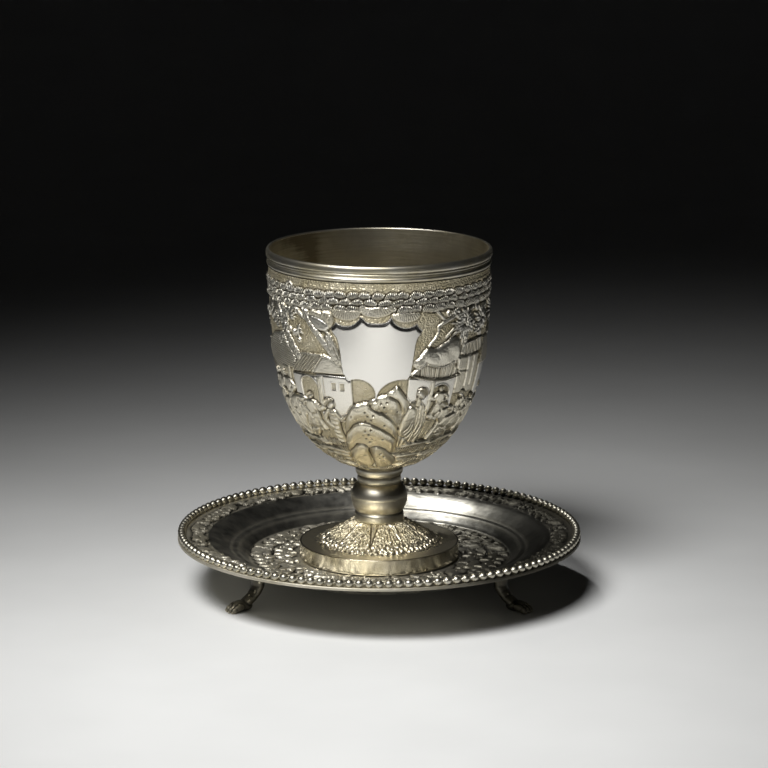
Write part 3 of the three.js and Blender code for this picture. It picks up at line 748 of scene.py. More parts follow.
def right_of_shield(relief):
    """Hills and a palm over a tiled roof with a doorway; a bearded elder sits on the rocks."""
    hill(relief, [(18, 26.5), (21, 24.9), (25.5, 21.9), (31, 22), (37, 20.4), (41, 19.2),
                  (45.5, 19.6), (48.5, 22.5), (48.5, 26), (46, 28.4), (38, 29.4), (28, 29.6),
                  (21, 28.8)])
    relief.line([(31, 23.6), (33, 25.4), (32.5, 27)], 0.1)
    trunk(relief, [(50, 17), (51.5, 21), (50, 25)], 1.8)
    burst(relief, 50, 15, 15, 6.6, width=1.0)
    burst(relief, 51, 13.5, 9, 3.6, width=0.9, lift=1.0)
    burst(relief, 67, 15, 12, 5.6)
    for bearing, down, size in ((59, 10.5, 3.2), (44, 11.5, 2.6), (73, 10, 3.4), (63, 19, 2.8),
                                (57, 16, 2.6)):
        burst(relief, bearing, down, 8, size, 0.8, 260, relief.random.uniform(-60, 60))
    curl(relief, 38.5, 11.2, 1.4, -1)
    wall(relief, [(47, 26), (68, 26), (67, 40), (47, 39)], 0.45, 0.15)
    beams(relief, *(([(post, 27), (post - 0.6, 37)], 0.8, 0.9) for post in (48, 56.5, 62)))
    relief.line([(48, 31), (56, 31.5)], 0.25)
    roof(relief, [(49.5, 26.4), (53.5, 22), (68, 21.6), (76, 26.6)], 0.9, 30, pitch=-0.1, bold=1.5)
    beam(relief, [(52, 22), (60, 21.8), (69, 21.4)], 0.6)
    roof(relief, [(70, 31), (73, 22), (83, 22), (87, 31)], 0.9, -20)
    wall(relief, [(71, 31), (86, 31), (86, 43), (71, 43)])
    trunks(relief, ([(43.8, 11.8), (37, 13.5), (32.6, 14.9), (31.8, 17.5), (26.8, 21.2)],
                    1.3, 0.8, 0.7),
           ([(50, 14.5), (42, 16.5), (37, 19)], 0.9, 0.7, 0.6),
           ([(30, 7.5), (31.5, 10), (35, 12.5)], 1.0))
    wall(relief, [(16.3, 31.5), (47, 33), (46, 48), (15.5, 48)], 0.45)
    doorway(relief, 36.5, 48, 3.6, 13, 0.9)
    beam(relief, [(31, 33.5), (30, 40), (28.5, 47)], 1.4)
    eaves_and_ridge = [(18.4, 30.6), (25.2, 27.2), (31.8, 28.5), (38, 28.7), (43.7, 27.5),
                       (49.7, 32.4), (40, 33), (28, 32.2)]
    roof(relief, eaves_and_ridge, 0.68, 12, 0.5, skew=-0.75, pitch=-0.12, bold=1.05)
    beams(relief, ([(25, 27.2), (31.8, 28.4), (38, 28.6), (43.6, 27.4)], 0.5, 0.8),
          ([(17.6, 30.4), (20.8, 28.8), (25, 27.0)], 0.9, 1.0),
          ([(18, 30.8), (28, 32.6), (38, 33.4), (49.6, 32.6)], 0.5, 0.8))
    person(relief, 37.5, 46, 10.5, -1)
    elder(relief)
    person(relief, 45, 56, 15, -1, 0.2)
    seated(relief, 57, 53, 15, -1, hat=False)
    person(relief, 70, 55, 14, 1)
    for bearing, down in ((52, 46), (64, 45), (56, 58)):
        burst(relief, bearing, down, 7, 3.2, 0.8, 220)


def elder(relief):
    """The seated elder: back and sleeve sweep down to a smooth knee, with the hem fanned below."""
    robe = [(18.5, 41), (24, 40.4), (28, 43.4), (30.4, 47.5), (29, 52.5), (27, 57.5), (22.5, 60),
            (17, 58.5), (16, 53), (20, 47)]
    relief.mass(robe, 0.7, 1.4, groove=0.25)
    lines(relief, 0.3, *(
        [(24 + across, 42 + low), (24.5 + across, 48 + low), (21.5 + across, 54),
         (18.5 + across, 58.5)] for across, low in ((0, 0), (2.2, 1.0), (4.2, 2.4))))
    relief.line([(23, 51), (24.5, 54), (23, 58)], 0.25)
    sleeve = [(15.5, 43), (19.2, 41.6), (22.4, 43.6), (22.6, 47.4), (21.8, 51), (19, 53.4),
              (14.5, 53.6), (12, 51.6), (13.6, 47.6)]
    relief.mass(sleeve, 1.25, 1.7, groove=0.3)
    relief.line([(21, 48), (19.5, 50.6), (16.5, 52.2)])
    relief.line([(20, 46.5), (18.6, 49.2), (15.8, 50.8)], 0.16)
    hem = [(11.6, 53.6), (17, 54), (21.4, 57.4), (19.4, 60.6), (13, 61), (10.2, 58.8)]
    where, x, y, distance = relief.mass(hem, 1.0, 0.8)
    relief.score(where, distance, np.arctan2(x + 1, y + 5) * 4.4, 0.14, 0.15)
    relief.tube([(23, 41.2), (20.5, 41.2), (18.2, 40.2)], 0.8, 0.5, 1.1)
    head(relief, frame_of(relief, 24.6, 38.6, 20, -1), 0.0, 0.06, 0.085)
    relief.mass([(22.2, 38.4), (24.6, 39.4), (23.8, 42), (21.6, 41.2)], 1.1, 0.5, matting=0.4)
    lines(relief, 0.25, *([(31 + offset, 50), (29 + offset, 55), (24 + offset, 60)]
                          for offset in (0, 4, 8)))


def rocks_below_shield(relief):
    """Layered rocks that climb to the foot of the shield, each with its lift and its pits."""
    for outline, lift, pitted in (
            ([(4, 37), (7.5, 35.4), (10, 34), (12.8, 36), (16, 38.7), (18, 40.8), (16.8, 43),
              (14.5, 46), (12, 50), (7, 47), (3, 42)], 0.9, False),
            ([(-6.5, 40.2), (-2.5, 38.3), (1.8, 37.1), (6.5, 37.4), (11.2, 39.4), (13.2, 42.5),
              (13.2, 47), (12, 51), (4, 49), (-5, 45)], 1.0, True),
            ([(-21.5, 47.5), (-18.5, 44), (-15.5, 41.4), (-11.5, 40.2), (-6.5, 39.7), (-4.4, 41.6),
              (3.7, 44.2), (8.2, 46.8), (12.2, 50.9), (13, 56), (8, 58), (-8, 53), (-21, 54)],
             1.1, True),
            ([(-24.5, 57), (-22, 52.6), (-18, 49.6), (-14.5, 47.7), (-9.2, 47.1), (-2.8, 48.3),
              (3.2, 50.2), (9.2, 52.8), (12.6, 56.4), (11.4, 61.5), (-6, 61), (-24, 61.5)],
             1.25, True),
            ([(-26, 62.5), (-20, 58.6), (-15.8, 56.6), (-11, 56.4), (-7.4, 58.4), (-5.6, 62),
              (-3, 68), (-14, 71), (-25, 70)], 1.2, False),
            ([(-8.5, 59.6), (-6, 58), (-2, 57.4), (2.4, 58), (7, 60.4), (14.8, 64.6), (17, 70),
              (4, 72), (-3, 70), (-5.5, 65)], 1.3, True)):
        ledge(relief, outline, lift, pitted)
    relief.line([(-13, 62.5), (-9, 61.8), (-7, 64), (-4.5, 67), (-1, 69.5)], 0.25)


def banks(relief):
    """Long hatched strips of ground that wind round the bottom of the bowl."""
    rows = ((57.5, 13, 7.0, 1.7), (60.6, 14, 7.2, 1.8), (63.6, 12, 6.6, 1.8), (66.8, 11, 6.2, 1.8),
            (70, 9, 5.6, 1.8), (73.4, 8, 4.8, 1.9))
    for row, (down, count, half, tall) in enumerate(rows):
        for step in range(count):
            bearing = (step + 0.45 * row) * 360 / count + relief.random.uniform(-5, 5)
            side = 1 if math.sin(math.radians(bearing)) > 0 else -1
            at = frame_of(relief, bearing, down + relief.random.uniform(-0.7, 0.7), 1.0, side)
            tilt = relief.random.uniform(0.6, 1.5)
            strip = at([(-half, -0.9 - tilt), (-half * 0.4, tall * 0.5),
                        (half * 0.4, tall * 0.5 + tilt * 0.7), (half, tall * 0.2 + tilt),
                        (half * 0.5, -0.6), (-half * 0.4, -1.6)])
            where, x, y, distance, _ = brow(relief, strip, 0.9, 0.12, 0.8)
            if relief.random.random() < 0.6:
                relief.score(where, distance, (x + side * 0.9 * y) / 0.85, 0.15, 0.1)
                relief.hatch(where, distance, (x + side * 0.7 * y) / 0.6, 0.3, 0.1)


def back_group(relief, bearing, side):
    """One stretch of the plainer back: house, tree, hill and people."""
    at = frame_of(relief, bearing, 44, 1.0, side)
    hill(relief, at([(5, 14), (8, 19), (12, 21), (16, 18), (18, 13), (16, 8), (6, 8)]))
    wall(relief, at([(-7, 0), (-7, 14), (7, 14), (7, 0)]))
    doorway(relief, bearing, 44, 2.2, 8.5)
    for offset in (-4.6, 4.6):
        small_window(relief, bearing + side * offset * 1.7, 36)
    roof(relief, at([(-8.6, 13.4), (-4.5, 19.5), (4.5, 19.5), (8.6, 13.4)]), 0.95, 18)
    beams(relief, (at([(-4.8, 19.7), (0, 19.2), (4.8, 19.7)]),),
          (at([(-9, 13.6), (0, 13.2), (9, 13.6)]), 0.6, 1.0))
    trunk(relief, at([(-13, 36), (-10.5, 27), (-13, 17), (-10.5, 5)]), 1.8, 2.6)
    burst(relief, bearing - side * 20, 13.5, 12, 5.6)
    burst(relief, bearing - side * 13, 19, 7, 3.6)
    burst(relief, bearing + side * 3, 17, 9, 4.4)
    person(relief, bearing - side * 15, 54, 15, side)
    person(relief, bearing + side * 14, 53, 14, -side, 0.2, hat=True)
    seated(relief, bearing + side, 57, 13, side)
    curl(relief, bearing + side * 17, 14.5, 2.4, side)


def blurred(field, reach):
    """A field averaged over `reach` cells each way, joined round the columns."""
    for axis, mode in enumerate(("edge", "wrap")):
        pad = [(0, 0), (0, 0)]
        pad[axis] = (reach + 1, reach)
        sums = np.cumsum(np.pad(field, pad, mode=mode), axis=axis)
        size, width = field.shape[axis], 2 * reach + 1
        high = np.take(sums, np.arange(width, width + size), axis=axis)
        field = (high - np.take(sums, np.arange(size), axis=axis)) / width
    return field


def grain(relief, depth):
    """A fine uneven surface left by the matting punch, in the matted parts only."""
    speck = blurred(relief.random.normal(size=relief.height.shape), 1)
    relief.height += depth * 3 * speck * np.clip(relief.matting, 0, 1)


def chase_bowl():
    """The whole scene on a grid that is finer round the front. The parts are struck from far to
    near, then the tufts, drapes and shield, and two lines are cut round under the moulding."""
    columns, rows = 1002, 288
    downs, radii, height = bowl_outline(0.0, BOWL_SEAT, rows)
    bearings = np.interp(np.arange(columns) / columns, [0, 0.3, 0.7, 1], [0, 82, 278, 360])
    relief = Relief(bearings, downs, radii)
    for bearing, side in ((104, 1), (145, -1), (186, 1), (227, -1), (262, 1)):
        back_group(relief, bearing, side)
    left_of_shield(relief)
    right_of_shield(relief)
    banks(relief)
    rocks_below_shield(relief)
    relief.height *= 0.88  # beaten back again while the ground is levelled
    leaf_rows(relief)
    curl(relief, -52, 3.4, 2.0, lift=0.5)
    swags(relief)
    shield(relief)
    grain(relief, 0.03)
    for down in (0.7, 1.4):
        relief.height -= 0.12 * np.exp(-((downs - down) / 0.2) ** 2)[:, None]
    relief.height *= smooth(downs, downs[-1] - 0.5, downs[-1] - 2.5)[:, None]
    return relief, radii, height


def recesses(height, reach, depth):
    """1 in the bottom of hollows that lie `depth` mm under their surroundings, 0 on the crests."""
    surroundings = blurred(blurred(height, reach), reach)
    return np.clip((surroundings - height) / depth, 0, 1)


def skin_places(relief, radii, height):
    """Places and normals of a chased skin, from the sheet's outline and the relief on it."""
    turn = np.radians(relief.bearings)[None, :]
    slope_r, slope_z = np.gradient(radii), np.gradient(height)
    steep = np.hypot(slope_r, slope_z)
    out_r, out_z = -slope_z / steep, slope_r / steep
    radius = radii[:, None] + out_r[:, None] * relief.height
    level = height[:, None] + out_z[:, None] * relief.height
    places = np.stack([radius * np.sin(turn), -radius * np.cos(turn), level], axis=-1)
    across = np.roll(places, -1, axis=1) - np.roll(places, 1, axis=1)
    along = np.gradient(places, axis=0)
    normals = np.cross(along, across)
    normals /= np.linalg.norm(normals, axis=-1, keepdims=True)
    return places, normals


def paint(piece, **fields):
    """Stores fields such as recess and matting on the points of a piece's mesh."""
    for name, field in fields.items():
        layer = piece.data.attributes.new(name, "FLOAT", "POINT")
        layer.data.foreach_set("value", np.ascontiguousarray(field, dtype=np.float32).ravel())


def chased_silver():
    """Chased and matted silver: pale rubbed crests, warm soft matting and brown-black hollows, with
    a painted reflection of the bright saucer, a creamy light that grows toward the bottom. Real
    punch marks are 0.2 to 0.3 mm apart and are drawn about twice as coarse, so that they show."""
    material, tree, place = blank_material("chased_silver")
    recess, matting, polish, phase, depth = (
        node(tree, "Attribute", output="Fac", attribute_name=field)
        for field in ("recess", "matting", "polish", "phase", "stroke"))
    turn = node(tree, "Math", {0: phase, 1: 2 * math.pi}, operation="MULTIPLY")
    wave = node(tree, "Math", {0: turn}, operation="COSINE")
    raised = node(tree, "Math", {0: wave, 1: 0.5, 2: 0.5}, operation="MULTIPLY_ADD")
    thin = node(tree, "Math", {0: raised, 1: 2.0}, operation="POWER")
    cut = node(tree, "Math", {0: thin, 1: depth}, operation="MULTIPLY")

    bloom = node(tree, "TexNoise", {"Vector": place, "Scale": 1 / (6 * MM), "Detail": 4.0})
    rubbed = node(tree, "ValToRGB", {"Fac": bloom},
                  stops=[(0.3, "#E6E1D2"), (0.6, "#EFEBDF"), (0.8, "#F5F2EA")])
    # Painted reflection of the bright saucer: the colour turns lighter and creamy, up to 0.8 of
    # #FBF0D2, going down from 92 mm to 52 mm high.
    level = node(tree, "SeparateXYZ", {"Vector": place}, "Z")
    painted_saucer_reflection = node(tree, "MapRange", {"Value": level, "From Min": 92 * MM, "From Max": 52 * MM,
                                   "To Max": 0.8})
    warm = node(tree, "ValToRGB", {"Fac": bloom}, stops=[(0.3, "#D6CAA8"), (0.7, "#EEE4C9")])
    patchy = node(tree, "MapRange", {"Value": bloom, "To Min": 0.6, "To Max": 1.1})
    soil = node(tree, "Math", {0: recess, 1: patchy}, operation="MULTIPLY")
    inked = node(tree, "MapRange", {"Value": cut, "To Min": 0.0, "To Max": 1.7})
    colour = rubbed
    for share, layer in ((painted_saucer_reflection, linear("#FBF0D2")), (polish, linear("#F8F5EE")), (matting, warm),
                         (soil, linear("#3A3122")), (inked, linear("#4A4233"))):
        colour = node(tree, "Mix", {"Factor": share, "A": colour, "B": layer}, 2,
                      data_type="RGBA")

    dots = node(tree, "TexVoronoi", {"Vector": place, "Scale": 1 / (0.55 * MM)})
    punched = node(tree, "Math", {0: dots, 1: matting}, operation="MULTIPLY")
    stipple = node(tree, "Bump", {"Height": punched, "Distance": 0.24 * MM})
    hammered = node(tree, "TexNoise", {"Vector": place, "Scale": 1 / (0.8 * MM), "Detail": 2.5})
    uneven = node(tree, "MapRange", {"Value": polish, "From Max": 0.8, "To Min": 1.0,
                                     "To Max": 0.12})
    marks = node(tree, "Math", {0: hammered, 1: uneven}, operation="MULTIPLY")
    planished = node(tree, "Bump", {"Height": marks, "Distance": 0.17 * MM, "Normal": stipple})
    chased = node(tree, "Bump", {"Height": cut, "Distance": -1.0 * MM, "Normal": planished})
    worked = node(tree, "MapRange", {"Value": matting, "To Min": 0.34, "To Max": 0.48})
    roughness = node(tree, "Math", {0: polish, 1: -0.12, 2: worked}, operation="MULTIPLY_ADD")
    close_material(tree, colour, roughness, chased)
    return material


SILVER_CHASED = chased_silver()


def bowl_skin():
    """The chased skin in three parts, each a third of the way round, with shared normals."""
    relief, radii, height = chase_bowl()
    places, normals = skin_places(relief, radii, height)
    recess = recesses(relief.height, 3, 0.34) ** 1.4
    matting = np.clip(relief.matting, 0, 1)
    third = len(relief.bearings) // 3
    polish = np.clip(-relief.matting, 0, 1)
    for part in range(3):
        columns = (np.arange(third + 1) + part * third - third // 2) % len(relief.bearings)
        share = np.s_[::-1, columns]
        piece = grid_mesh(f"bowl_skin_{part + 1}", places[share], False, normals[share])
        paint(piece, recess=recess[share], matting=matting[share], polish=polish[share],
              phase=relief.phase[share], stroke=relief.stroke[share])
        finish_piece(piece, SILVER_CHASED, "chased_silver", "cup_bowl")


bowl_skin()


# ---------------------------------------------------------------- bowl: the lining
# The inner face of the same sheet of silver, hammered smooth and never chased. It was bright once
# and has gone grey-brown, with faint rings round it where a cloth has wiped it.

def lining_silver():
    """Silver wiped out round and round: a dull grey-brown sheen with fine rings and drip stains.
    The rings a cloth leaves are drawn several times coarser than real, so that they show."""
    material, tree, place = blank_material("wiped_silver_lining")
    bloom = node(tree, "TexNoise", {"Vector": place, "Scale": 1 / (16 * MM), "Detail": 5.0})
    wiped = node(tree, "Mapping", {"Vector": place, "Scale": (0.06, 0.06, 1.0)})
    rings = node(tree, "TexNoise", {"Vector": wiped, "Scale": 1 / (0.9 * MM), "Detail": 3.0})
    dragged = node(tree, "Mapping", {"Vector": place, "Scale": (0.04, 0.04, 1.0)})
    streaks = node(tree, "TexNoise", {"Vector": dragged, "Scale": 1 / (0.6 * MM), "Detail": 3.0})
    stain = node(tree, "Math", {0: streaks, 1: 0.3, 2: bloom}, operation="MULTIPLY_ADD")
    colour = node(tree, "ValToRGB", {"Fac": stain},
                  stops=[(0.45, "#887E66"), (0.6, "#BEB69F"), (0.85, "#E2DCCA")])
    roughness = node(tree, "MapRange", {"Value": stain, "To Min": 0.48, "To Max": 0.29})
    close_material(tree, colour, roughness,
                   node(tree, "Bump", {"Height": rings, "Distance": 0.05 * MM}))
    return material


def bowl_lining():
    """The inside, from under the lip down the sheet's inner face to the middle of the floor."""
    _, radii, height = bowl_outline(SHEET, BOWL_SEAT + SHEET, 44)
    _, mouth_top = heights("rim_moulding")
    neck = arc((36.02, mouth_top - 0.5), (radii[1], height[1]), 0.0, 6)
    side = np.column_stack([radii[2:], height[2:]])
    floor = arc((radii[-1], height[-1]), (0.01, height[-1] - 0.2), 0.0, 8)[1:]
    piece = turned("bowl_lining", np.vstack([neck, side, floor]), 160)
    return finish_piece(piece, lining_silver(), "polished_silver", "cup_bowl")


bowl_lining()


# ---------------------------------------------------------------- stem
# A turned silver stem: collar under the bowl, thin fillet, knop with a sharp edge, waist and base
# ring. It is soldered between bowl and foot, and is burnished a little duller than the mouth.

def stem():
    """The stem's section from the foot up; the knop's dome rises over its sharp edge."""
    foot, top = heights("stem_knop")
    edge = foot + 7.9
    dome, turn = 6.5, np.radians(np.linspace(4, 53, 18))
    shoulder = np.column_stack([9.46 - dome * (np.cos(turn[0]) - np.cos(turn)),
                                edge + 0.06 + dome * (np.sin(turn) - np.sin(turn[0]))])
    neck = shoulder[-1, 1]
    profile = np.vstack([
        [[0.01, foot - 0.4], [7.9, foot - 0.4], [8.15, foot - 0.3]],
        arc((8.2, foot - 0.1), (8.12, foot + 2.2), 0.06, 5),
        [[7.9, foot + 2.42], [7.65, foot + 2.5], [7.62, foot + 2.72]],
        arc((7.85, foot + 2.85), (9.36, edge - 0.14), 0.42, 14),
        [[9.44, edge - 0.05]],
        shoulder,
        [[7.06, neck + 0.02], [7.06, neck + 0.2]],
        arc((7.3, neck + 0.25), (7.12, neck + 2.35), 0.12, 6),
        [[7.0, neck + 2.42], [7.0, neck + 2.58]],
        arc((7.4, neck + 2.65), (7.35, top - 0.1), 0.6, 12),
        [[7.9, top + 0.1], [8.05, top + 0.35], [0.01, top + 0.35]],
    ])
    piece = turned("stem", profile, 128)
    rubbed = burnished_silver("burnished_silver_stem", 0.43, 0.31)
    return finish_piece(piece, rubbed, "polished_silver", "stem_knop")


stem()


# ---------------------------------------------------------------- foot
# A low dome raised from silver sheet and chased with long veined leaves, which end in pale rounded
# lobes on a plain ledge. A strip bent to a ring is soldered under the ledge as an upright band, and
# stands in the saucer. The foot is open and plain underneath.

LEAVES = 9
LOBES = 7  # along the end of each leaf
FIRST_SEAM = -10  # bearing of the cut between the last leaf and the first
STEM_EDGE, LEAF_END, LEDGE_START, LEDGE_END = 7.4, 19.9, 21.0, 26.6  # mm out from the axis


def foot_relief():
    """Height of the leaves over the dome, by bearing and distance out from the stem."""
    columns, rows, ledge_rows = 540, 70, 8
    _, dome_top = heights("foot_dome")
    shelf = heights("foot_ring")[1] + 1.4
    out = np.concatenate([np.linspace(STEM_EDGE, LEDGE_START, rows - ledge_rows),
                          np.linspace(LEDGE_START + 0.8, LEDGE_END, ledge_rows)])
    leafy = np.clip((out - STEM_EDGE) / (LEAF_END - STEM_EDGE), 0, 1)
    level = shelf + 0.2 * (1 - smooth(out, 19.2, 20.2))
    level += (dome_top + 0.1 - shelf) * (1 - leafy**0.85)
    relief = Relief(np.arange(columns) * 360 / columns, out, out)
    away = out[:, None]
    across = ((relief.bearings[None, :] - FIRST_SEAM) * LEAVES / 360) % 1 - 0.5
    x = across * 2 * np.pi * away / LEAVES
    everywhere = np.s_[:, :]
    seam = np.pi * away / LEAVES - np.abs(x)
    cheek = np.interp(out, [8, 16.5], [1.15, 0.1])[:, None]
    reach = 18.8 - 4.0 * across**2
    distance = away - reach
    dome = 0.3 + 0.3 * np.cos(np.pi * across) + 0.08 * np.cos(2 * np.pi * np.abs(across) * 9)
    relief.lay(everywhere, distance, dome, 1.0, groove=0.2)
    relief.height -= 0.6 * np.exp(-(((seam - cheek) / 0.28) ** 2)) * smooth(away, 18.0, 15.5)
    relief.matting *= smooth(seam - cheek, -0.1, 0.3)
    for step in range(LEAVES * LOBES):
        share = (step % LOBES + 0.5) / LOBES - 0.5
        for row in (0, 1):
            leaf_turn = step // LOBES + 0.5 + (share + row * 0.07) * 0.96
            bearing = leaf_turn * 360 / LEAVES + FIRST_SEAM
            centre = 17.6 + 1.4 * row - 4.0 * share**2 + relief.random.uniform(-0.3, 0.3)
            where, u, v, _ = relief.window([(bearing, centre)], 2)
            lobe = oval(u, v, relief.random.uniform(0.5, 0.95), relief.random.uniform(0.6, 1.0))
            high = relief.random.uniform(0.15, 0.4)
            relief.lay(where, lobe, 0.3 + high * pillow(lobe, 0.8), 0.1 - 0.3 * row, groove=0.12,
                       edge=0.2)
    grain(relief, 0.15)
    relief.height *= smooth(out, 7.6, 8.6)[:, None]
    relief.height[out > LEDGE_START + 0.2] = 0
    relief.matting = np.where(away > 19.6, np.minimum(relief.matting, 0), relief.matting)
    return relief, out, level


def foot():
    """The chased dome with its ledge, the band that hangs from it, and the bare underside."""
    relief, out, level = foot_relief()
    places, normals = skin_places(relief, out, level)
    dome = grid_mesh("foot_dome_skin", places[::-1], True, normals[::-1])
    paint(dome, recess=recesses(relief.height, 3, 0.19)[::-1],
          matting=np.clip(relief.matting, 0, 1)[::-1])
    finish_piece(dome, SILVER_CHASED, "chased_silver", "foot_dome")
    edge = level[-1]
    floor, _ = heights("foot_ring")
    under = edge - 1.1
    band_profile = np.vstack([
        arc((25.6, floor), (26.3, floor), 0.0, 2),
        arc((26.75, floor + 0.35), (26.6, edge - 0.25), -0.06, 12),
        arc((26.6, edge - 0.2), (26.35, edge + 0.02), 0.06, 4),
        [[25.2, edge - 0.05], [25.2, under], [25.6, under], [25.6, floor]],
    ])
    band = turned("foot_band", band_profile, 240)
    handled = burnished_silver("burnished_silver_band", 0.27, 0.17)
    finish_piece(band, handled, "polished_silver", "foot_ring")
    inside = np.vstack([
        arc((0.01, level[0] - 2.2), (8.0, level[0] - 2.2), 0.0, 6),
        arc((8.0, level[0] - 2.2), (19.8, under), 0.8, 20),
        arc((19.8, under), (25.4, under), 0.0, 6),
    ])
    hollow = turned("foot_underside", inside, 120)
    finish_piece(hollow, SILVER_BURNISHED, "chased_silver", "foot_dome")


foot()


# ---------------------------------------------------------------- saucer
# A dish raised from silver sheet: leafy flange inside the beads, a plain hollow gone dark grey, a
# stepped ring, and a leafy border round the flat middle, where the cup stands without being fixed.

WELL_FLOOR = heights("foot_ring")[0] - 0.3
SAUCER_OUTLINE = [  # radius and height above the well floor, from the middle out
    (0.01, 0.0), (27.0, 0.0), (28.0, 0.1), (43.4, 0.5), (44.1, 0.7), (44.5, 1.25), (46.9, 3.1),
    (47.3, 3.5), (48.1, 3.6), (49.2, 3.7), (49.8, 4.3), (51.5, 5.2), (53.5, 6.3), (55.5, 7.1),
    (56.3, 7.25), (56.9, 7.4), (64.2, 7.8), (66.9, 7.95), (67.3, 7.7), (67.35, 6.95),
]
SAUCER_COLUMNS = 700


def spray(relief, bearing, centre, length, side, lift=0.8):
    """A stalk that runs round the band with curling leaves on both sides of it."""
    at = frame_of(relief, bearing, centre, length, side)
    relief.tube(at([(-0.6, -0.2), (-0.2, 0.12), (0.2, 0.0), (0.55, 0.22)]), 0.8, 0.5, lift)
    for u, v, angle, share in ((-0.45, -0.05, 35, 0.42), (-0.15, 0.1, 150, 0.45),
                               (0.05, 0.06, 25, 0.5), (0.3, 0.02, 140, 0.4), (0.45, 0.15, 75, 0.4)):
        b, d = at([(u, v)])[0]
        leaf(relief, b, d, 1.15 * share * length, 0.32 * length, side * angle, lift)


def leafy_band(relief, centre, pitch, length, seed):
    """Sprays, rocks and small people crowded along a band of the saucer."""
    relief.random = np.random.default_rng(seed)
    count = int(2 * math.pi * centre / pitch)
    for step in range(count):
        bearing = (step + relief.random.uniform(-0.2, 0.2)) * 360 / count
        side = 1 if relief.random.random() < 0.5 else -1
        kind = step % 5
        if kind < 3:
            spray(relief, bearing, centre, length, side)
        elif kind == 3:
            person(relief, bearing, centre + length * 0.42, length * 0.95, side, 0.3, lift=0.8)
        else:
            rock = [(-0.5, -0.35), (-0.3, 0.1), (0.1, 0.3), (0.45, 0.0), (0.5, -0.4)]
            ledge(relief, frame_of(relief, bearing, centre, length, side)(rock), 0.85)


def saucer_relief():
    """The saucer's upper face, from the middle out; small people on it stand with feet outward."""
    outline = np.array(SAUCER_OUTLINE)
    middle = np.linspace(0.01, 24.0, 4)
    border = np.linspace(25.5, 44.3, 62)
    hollow = np.linspace(44.6, 55.9, 20)
    flange = np.concatenate([np.linspace(56.2, 65.5, 30), [66.3, 66.9, 67.15, 67.3, 67.35]])
    radii = np.concatenate([middle, border, hollow, flange])
    level = WELL_FLOOR + np.interp(radii, outline[:, 0], outline[:, 1])
    relief = Relief(np.arange(SAUCER_COLUMNS) * 360 / SAUCER_COLUMNS, radii, radii)
    leafy_band(relief, 60.6, 5.6, 6.4, 3)
    leafy_band(relief, 32.5, 7.0, 8.6, 9)
    leafy_band(relief, 39.4, 7.6, 9.2, 5)
    plain = np.maximum.reduce([
        smooth(radii, 63.6, 64.4), smooth(radii, 57.4, 56.8) * smooth(radii, 43.4, 44.0),
        smooth(radii, 28.0, 27.0),
    ])[:, None]
    relief.height = 0.95 * relief.height * (1 - plain)
    relief.matting *= 1 - plain
    return relief, radii, level


def dish_silver():
    """Saucer silver: satin bright chasing, and plain parts under a mottled grey tarnish, both with
    a painted shadow of the cup that darkens them toward +X. Its punch marks are drawn coarser than
    real to show."""
    material, tree, place = blank_material("tarnished_dish_silver_painted_shadow")
    recess, matting, plain = (node(tree, "Attribute", output="Fac", attribute_name=field)
                              for field in ("recess", "matting", "plain"))
    bloom = node(tree, "TexNoise", {"Vector": place, "Scale": 1 / (14 * MM), "Detail": 5.0})
    mottle = node(tree, "TexNoise", {"Vector": place, "Scale": 1 / (5 * MM), "Detail": 5.0})
    grey = node(tree, "ValToRGB", {"Fac": mottle},
                stops=[(0.35, "#8F8D85"), (0.5, "#B4B1A7"), (0.65, "#D0CCBF")])
    bright = node(tree, "ValToRGB", {"Fac": bloom}, stops=[(0.3, "#C6BFAA"), (0.7, "#EAE4D4")])
    # Painted shadow of the cup: toward +X the chasing is darkened to #3A3830 and the plain tarnish
    # to #34332D, where the cup's shadow falls on the saucer.
    sideways = node(tree, "SeparateXYZ", {"Vector": place}, "X")
    patch = node(tree, "Math", {0: bloom, 1: 30 * MM, 2: sideways}, operation="MULTIPLY_ADD")
    painted_cup_shadow = node(tree, "MapRange", {"Value": patch, "From Min": 12 * MM, "From Max": 52 * MM,
                                      "To Max": 0.9})
    chasing_in_painted_shadow = node(tree, "Mix", {"Factor": painted_cup_shadow, "A": bright, "B": linear("#3A3830")}, 2,
                  data_type="RGBA")
    painted_cup_shadow_on_plain = node(tree, "MapRange", {"Value": patch, "From Min": 36 * MM, "From Max": 52 * MM,
                                       "To Max": 0.9})
    tarnish_in_painted_shadow = node(tree, "Mix", {"Factor": painted_cup_shadow_on_plain, "A": grey, "B": linear("#34332D")}, 2,
                   data_type="RGBA")
    face = node(tree, "Mix", {"Factor": plain, "A": chasing_in_painted_shadow, "B": tarnish_in_painted_shadow}, 2, data_type="RGBA")
    colour = node(tree, "Mix", {"Factor": recess, "A": face, "B": linear("#1F1E1B")}, 2,
                  data_type="RGBA")
    dots = node(tree, "TexVoronoi", {"Vector": place, "Scale": 1 / (0.5 * MM)})
    punched = node(tree, "Math", {0: dots, 1: matting}, operation="MULTIPLY")
    stipple = node(tree, "Bump", {"Height": punched, "Distance": 0.1 * MM})
    ripples = node(tree, "TexNoise", {"Vector": place, "Scale": 1 / (2 * MM), "Detail": 4.0})
    normal = node(tree, "Bump", {"Height": ripples, "Distance": 0.08 * MM, "Normal": stipple})
    roughness = node(tree, "MapRange", {"Value": plain, "To Min": 0.52, "To Max": 0.36})
    close_material(tree, colour, roughness, normal)
    return material


SILVER_DISH = dish_silver()


